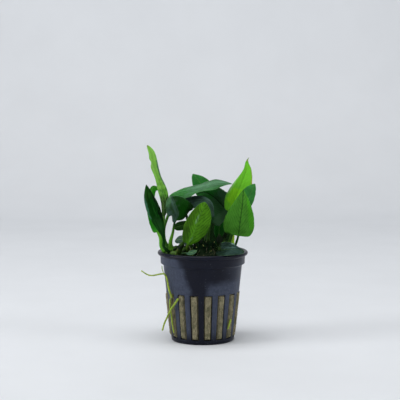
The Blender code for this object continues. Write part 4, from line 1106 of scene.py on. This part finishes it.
def top_strands(rng, count):
    """Fibres that lie on top of the plug."""
    strands = []
    for _ in range(count):
        radius, angle = 20 * math.sqrt(rng.uniform()), rng.uniform(0, 2 * math.pi)
        turn = rng.uniform(0, 2 * math.pi)
        start = (radius * math.cos(angle), radius * math.sin(angle), 0)
        heading = (math.cos(turn), math.sin(turn), 0)
        line = []
        for x, y, _ in wander(start, heading, rng.uniform(1.5, 4.5), 6, 0.25, rng):
            if math.hypot(x, y) < STRAND_REACH:
                line.append((x, y, wool_height(x, y) + rng.uniform(0.0, 0.35)))
        if len(line) > 2:
            strands.append((line, rng.uniform(*STRAND_RADII)))
    return strands


# Growth over the tuft: dark moss, near-black as painted shade between the stalks


def leaflet(centre, heading, side, length, width):
    """Corners and faces of one tiny closed lozenge."""
    up = np.cross(heading, side)
    half, ridge = centre + heading * length * 0.5, centre + heading * length * 0.45
    corners = [centre, half + side * width, centre + heading * length, half - side * width,
               ridge + up * width * 0.5, ridge - up * width * 0.5]
    faces = [(0, 1, 4), (1, 2, 4), (2, 3, 4), (3, 0, 4), (1, 0, 5), (2, 1, 5), (3, 2, 5), (0, 3, 5)]
    return corners, faces


def growth_shoot(x, y, rng):
    """A short wandering line of growth from the wool at (x, y), longer towards the rear."""
    behind = (y - TUFT_CENTRE[1]) / GROWTH_DEPTH
    aside = 0.9 if x > TUFT_CENTRE[0] + 3.5 else 0.0
    heading = unit((rng.normal(aside, 0.5), rng.normal(-0.4, 0.5), rng.uniform(0.1, 1.2)))
    length = rng.uniform(1.2, 2.6) + 4.5 * max(0.0, behind) * rng.uniform()
    return wander((x, y, wool_height(x, y) - 0.3), heading, length, 9, 0.28, rng)


def growth_and_shade_piece(rng):
    """Fine dark growth over and behind the tuft, near-black as painted shade in the gaps between the stalks:
    short wandering shoots set with tiny leaves.
    """
    points, faces, tone = [], [], []
    for _ in range(GROWTH_SHOOTS):
        x = rng.normal(TUFT_CENTRE[0] + 1.8, GROWTH_SPREAD)
        y = TUFT_CENTRE[1] + rng.uniform(GROWTH_FRONT, GROWTH_DEPTH)
        if math.hypot(x, y) > GROWTH_REACH or not GROWTH_LEFT <= x <= GROWTH_RIGHT:
            continue
        line = growth_shoot(x, y, rng)
        shade = rng.uniform(0, 0.55)
        for a, b in zip(line, line[1:]):
            forward = unit(b - a)
            for turn in rng.uniform(0, 2 * math.pi, 3):
                out = unit(forward * 0.5 + unit(np.cross(forward, (math.cos(turn), math.sin(turn), 0.3))))
                side = unit(np.cross(out, forward))
                bud = rng.uniform() < BUD_SHARE
                size = BUD_SIZE if bud else 1.0
                length = rng.uniform(0.45, 0.9) * size
                corners, sides = leaflet(a, out, side, length, rng.uniform(0.1, 0.2) * size**2)
                faces += shifted(sides, len(points))
                points += corners
                tone += [rng.uniform(0.85, 1.0) if bud else shade + rng.uniform(0, 0.2)] * len(corners)
    return add_mesh("tuft_growth_and_shade", points, faces, {"tone": tone}, smooth=False)


# Scales at the feet of the stalks

# Each scale: its foot, middle and tip, its half width and its tone from dark green through brown to pale
SCALES = (
    ((-13, -11.9, 49.5), (-12.4, -12.4, 53), (-10.7, -12.2, 56.6), 1.9, 0.12),
    ((-14.2, -12, 49), (-14, -12.6, 51), (-13.6, -12.6, 53), 0.5, 0.5),
    ((-10.6, -12.8, 49), (-10.3, -13.2, 51.4), (-9.4, -13.4, 54.6), 1.2, 0.1),
    ((-6.9, -12.2, 49.2), (-6.4, -12.8, 51), (-5.6, -13, 53.6), 0.8, 0.5),
    ((-6.2, -12.2, 50.2), (-6.9, -13.4, 52.8), (-8, -13.6, 55.8), 0.25, 0.8),
    ((-4.4, -11.2, 49), (-4.2, -12, 52), (-4.6, -12.4, 56.5), 1.1, 0.05),
    ((-20.4, -8.6, 51.2), (-20.3, -9, 52.2), (-20.6, -9, 53.3), 0.45, 0.85),
    ((-15.8, -9.6, 51), (-15, -10.6, 52.2), (-14.6, -10.9, 54.2), 1.2, 0.15),
    ((15.6, -2, 50), (15, -3, 52.5), (14.2, -3.4, 55), 1.4, 0.2),
    ((11.2, 2.8, 50.5), (11.6, 4.6, 53), (12.4, 5.4, 56), 1.3, 0.25),
    ((4.6, 2.8, 50.6), (4, 4, 53.2), (3, 4.2, 56.4), 1.2, 0.3),
    ((-2.2, -4.4, 50.4), (-2, -3.2, 54), (-1.6, -2.6, 58.6), 1.9, 0),
    ((9.2, 3.8, 50.4), (9.5, 4.6, 54), (9.2, 5.4, 58.6), 1.9, 0),
    ((9.4, -15.6, 46.6), (9.3, -17.6, 50.4), (9, -18.9, 55.2), 1.5, 0.02),
    ((10.6, -14.4, 46.6), (10.2, -15.4, 51), (9.6, -15.8, 56.4), 1.3, 0.05),
)


def scale_piece():
    """Pointed dry sheaths and scraps around the stalks' feet, each one curved closed shell."""
    points, faces, tone = [], [], []
    rings, around = 15, 10
    for number, (start, middle, end, width, shade) in enumerate(SCALES):
        path = smooth_path([start, middle, end])
        run = run_length(path)
        faces += shifted(ring_faces(rings, around) + end_caps(rings, around), len(points))
        for share in np.arange(rings) / (rings - 1):
            centre = sampled(path, run, np.array([share * run[-1]]))[0]
            half = width * max(0.06, math.sin(math.pi * (0.12 + 0.86 * share)) ** 0.8)
            for a in 2 * math.pi * np.arange(around) / around:
                cup = 0.35 * half * math.cos(a) ** 2
                points.append(centre + (half * math.cos(a), -half * 0.35 * math.sin(a) + cup, 0.0))
                tone.append(shade + 0.12 * math.sin(9 * share + number))
    return add_mesh("stalk_scales", points, faces, {"tone": tone})


# Rhizome and roots, each by its radius at both ends and its route

RHIZOME = (2, 1.8, [(-18.8, -4.9, 49.4), (-16, -7.6, 49.5), (-12.3, -9.3, 49.3), (-6, -8, 49.4),
                      (-1, -3.6, 49.6), (4, 0, 49.6), (9.5, 2, 49.6), (14, 1.6, 49.4),
                      (17, -0.6, 49)])
ROOTS = {
    # Leaves a slot at the left front, climbs the wall and curls out to the left
    "root_left_curl": (0.6, 0.35, [(-17, -12.4, 25.8), (-17.9, -12.5, 28.2), (-18.9, -12, 31.8),
                                   (-19.5, -10.8, 35), (-20.9, -8.4, 37.8), (-23.2, -6.4, 37.7),
                                   (-27.4, -5, 36.7), (-30.2, -5, 37), (-33.8, -5, 39.2)]),
    "root_front_cross": (0.6, 0.45, [(-13.6, -16.6, 25.4), (-15.4, -15.1, 22.4), (-17.3, -13.4, 19.4),
                                     (-19.4, -11.6, 14.8), (-21.2, -10.2, 10.6), (-22.2, -9.6, 7)]),
    "root_front_down": (0.5, 0.4, [(-17.9, -11.8, 24.4), (-17.9, -11.5, 20), (-17.2, -11.3, 15),
                                   (-16.7, -11.1, 10.5), (-15.9, -11.1, 6)]),
    "root_right_low": (0.5, 0.4, [(15.2, -12.8, 13.2), (14.5, -13.3, 10.8), (13.8, -13.2, 8.6)]),
}
ROOT_HAIR = (0.24, 0.18, [(-22.4, -8.6, 42.4), (-22.3, -9.2, 41), (-21.4, -9.6, 38.4), (-20.5, -9.9, 36.6)])


def tube_piece(name, start_radius, end_radius, points, around, spacing, unevenness, knots=0.0, seed=0.0):
    """An uneven round tube along a smooth curve, with domed ends and, for a stem, swollen joints."""
    path = smooth_path(points)
    run = run_length(path)
    where = np.concatenate([np.linspace(-start_radius, 0, 6, endpoint=False),
                            np.linspace(0, run[-1], int(run[-1] / spacing)),
                            np.linspace(run[-1], run[-1] + end_radius, 7)[1:]])
    inside = np.clip(where, 0, run[-1])
    centres = sampled(path, run, inside)
    tangents = eased(sampled(np.gradient(path, axis=0), run, inside), 2)
    centres += tangents * (where - inside)[:, None]
    radii = start_radius + (end_radius - start_radius) * inside / run[-1]
    over = np.abs(where - inside) / radii
    radii = radii * np.sqrt(np.clip(1 - over**2, 0.0009, 1))
    radii = radii * (1 + knots * np.sin(2 * math.pi * where / KNOT_PITCH + 0.8 * np.sin(where)) ** 3)
    ups = np.zeros_like(tangents)
    up = unit(np.cross(tangents[0], (0.3, 0.9, 0.2)))
    for i, tangent in enumerate(tangents):
        up = unit(up - tangent * np.dot(up, tangent))
        ups[i] = up
    sides = np.cross(tangents, ups)
    angles = -2 * math.pi * np.arange(around) / around
    points = np.vstack([c + r * (np.outer(np.cos(angles), s) + np.outer(np.sin(angles), u))
                        for c, r, s, u in zip(centres, radii, sides, ups)])
    outward = points - np.repeat(centres, around, axis=0)
    points = points + outward * (unevenness * rough(points, 2.0 * start_radius, seed, 3))[:, None]
    faces = ring_faces(len(where), around) + end_caps(len(where), around)
    return add_mesh(name, points, faces, {"along": np.repeat(where, around)})


# Putting the pieces on the frame


def dress(piece, look, slot, *nodes):
    """Put a piece with its look on the plant's one body, in place of the nodes it stands for."""
    piece.data.materials.clear()
    piece.data.materials.append(look)
    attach(piece, "root")
    if nodes:
        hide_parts(*nodes)


def add_plant():
    rng = np.random.default_rng(11)
    dress(pot_piece(), pot_look(), "pot_plastic", "net_pot")
    wool = wool_look("rock_wool_look", srgb(186, 178, 144), srgb(66, 62, 48), srgb(92, 94, 68))
    dress(wool_piece(), wool, "rock_wool", "rock_wool")
    fibre = wool_look("fibre_look", srgb(196, 188, 156), srgb(120, 112, 88), srgb(124, 124, 92))
    strands = slot_strands(rng, SLOT_STRANDS) + top_strands(rng, TOP_STRANDS)
    dress(strand_piece("rock_wool_fibres", strands), fibre, "rock_wool")
    bark = bark_look("rhizome_look", srgb(96, 140, 52), srgb(66, 98, 34), srgb(50, 58, 24))
    dress(tube_piece("rhizome_stem", *RHIZOME, 28, 0.16, 0.05, 0.07, 2.0), bark, "rhizome", "rhizome")
    dress(growth_and_shade_piece(rng), growth_and_shade_look(), "rock_wool")
    dress(scale_piece(), scale_look(), "rhizome")
    root = bark_look("root_look", srgb(160, 184, 62), srgb(126, 152, 46), srgb(104, 120, 44))
    for number, (name, route) in enumerate(ROOTS.items()):
        piece = tube_piece(name + "_fibre", *route, 14, 0.25, 0.12, 0.03, number + 4.0)
        dress(piece, root, "root", name)
    dress(tube_piece("root_hair", *ROOT_HAIR, 10, 0.25, 0.1, 0.0, 9.0), root, "root")
    for number, (name, plan) in enumerate(LEAVES.items()):
        plan = {**plan, **DEFAULT_LOOK, **LOOKS[name]}
        blade = LeafSkin(number, plan).piece(name + "_blade")
        dress(blade, leaf_look(name + "_look", plan), leaf_slot(name), name)


# Light and camera


def add_stage():
    """One pale sheet: a level floor that curves up into the backdrop."""
    front, depth, bend, height, half = -1.4, 0.55, 0.25, 1.6, 2.0
    rows = [(front, 0.0), (0.0, 0.0), (depth, 0.0)]
    for a in np.linspace(0, math.pi / 2, 24)[1:]:
        rows.append((depth + bend * math.sin(a), bend * (1 - math.cos(a))))
    rows.append((depth + bend, height))
    points = [(x / MM, y / MM, z / MM) for y, z in rows for x in (-half, half)]
    faces = [(2 * i, 2 * i + 1, 2 * i + 3, 2 * i + 2) for i in range(len(rows) - 1)]
    sheet = add_mesh("studio_sheet", points, faces)
    sheet.data.materials.append(ground_look())


def add_light(name, place, aim, size, power):
    data = bpy.data.lights.new(name, "AREA")
    data.shape = "RECTANGLE"
    data.size, data.size_y = size
    data.energy = power
    lamp = bpy.data.objects.new(name, data)
    lamp.location = place
    lamp.rotation_euler = (Vector(aim) - Vector(place)).to_track_quat("-Z", "Y").to_euler()
    bpy.context.scene.collection.objects.link(lamp)


def add_lights():
    """Soft boxes at both sides and overhead, a weak one in front, and one for the backdrop."""
    plant, backdrop = (0.0, 0.0, 0.06), (0.0, 0.75, 0.3)
    add_light("left_box", (-0.8, -0.25, 0.3), plant, (0.35, 0.7), 4.0)
    add_light("right_box", (0.8, -0.3, 0.25), plant, (0.35, 0.6), 3.0)
    add_light("top_box", (-0.1, -0.25, 0.9), plant, (0.8, 0.6), 4.2)
    add_light("front_box", (-0.2, -1.1, 0.75), plant, (0.5, 0.4), 1.4)
    add_light("back_box", (0.0, 0.1, 1.1), backdrop, (1.2, 0.4), 5.0)
    world = bpy.data.worlds.new("studio")
    world.use_nodes = True
    background = world.node_tree.nodes["Background"]
    background.inputs["Color"].default_value = (0.95, 0.97, 1.0, 1.0)
    background.inputs["Strength"].default_value = 0.07
    bpy.context.scene.world = world


def add_camera():
    data = bpy.data.cameras.new("camera")
    data.lens = CAMERA_LENS
    data.sensor_width = CAMERA_SENSOR
    data.clip_start = 0.05
    camera = bpy.data.objects.new("camera", data)
    camera.location = CAMERA_PLACE
    camera.rotation_euler = (CAMERA_TILT, 0.0, 0.0)
    bpy.context.scene.collection.objects.link(camera)
    bpy.context.scene.camera = camera


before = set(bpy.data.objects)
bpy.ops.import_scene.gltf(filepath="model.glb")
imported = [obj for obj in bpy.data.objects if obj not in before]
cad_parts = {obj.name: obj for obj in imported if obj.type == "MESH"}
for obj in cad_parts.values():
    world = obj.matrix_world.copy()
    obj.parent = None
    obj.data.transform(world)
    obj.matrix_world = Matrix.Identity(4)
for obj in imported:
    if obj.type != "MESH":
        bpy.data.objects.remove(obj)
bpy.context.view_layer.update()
add_camera()
add_stage()
add_lights()
add_plant()
bpy.context.scene.view_settings.view_transform = "Standard"
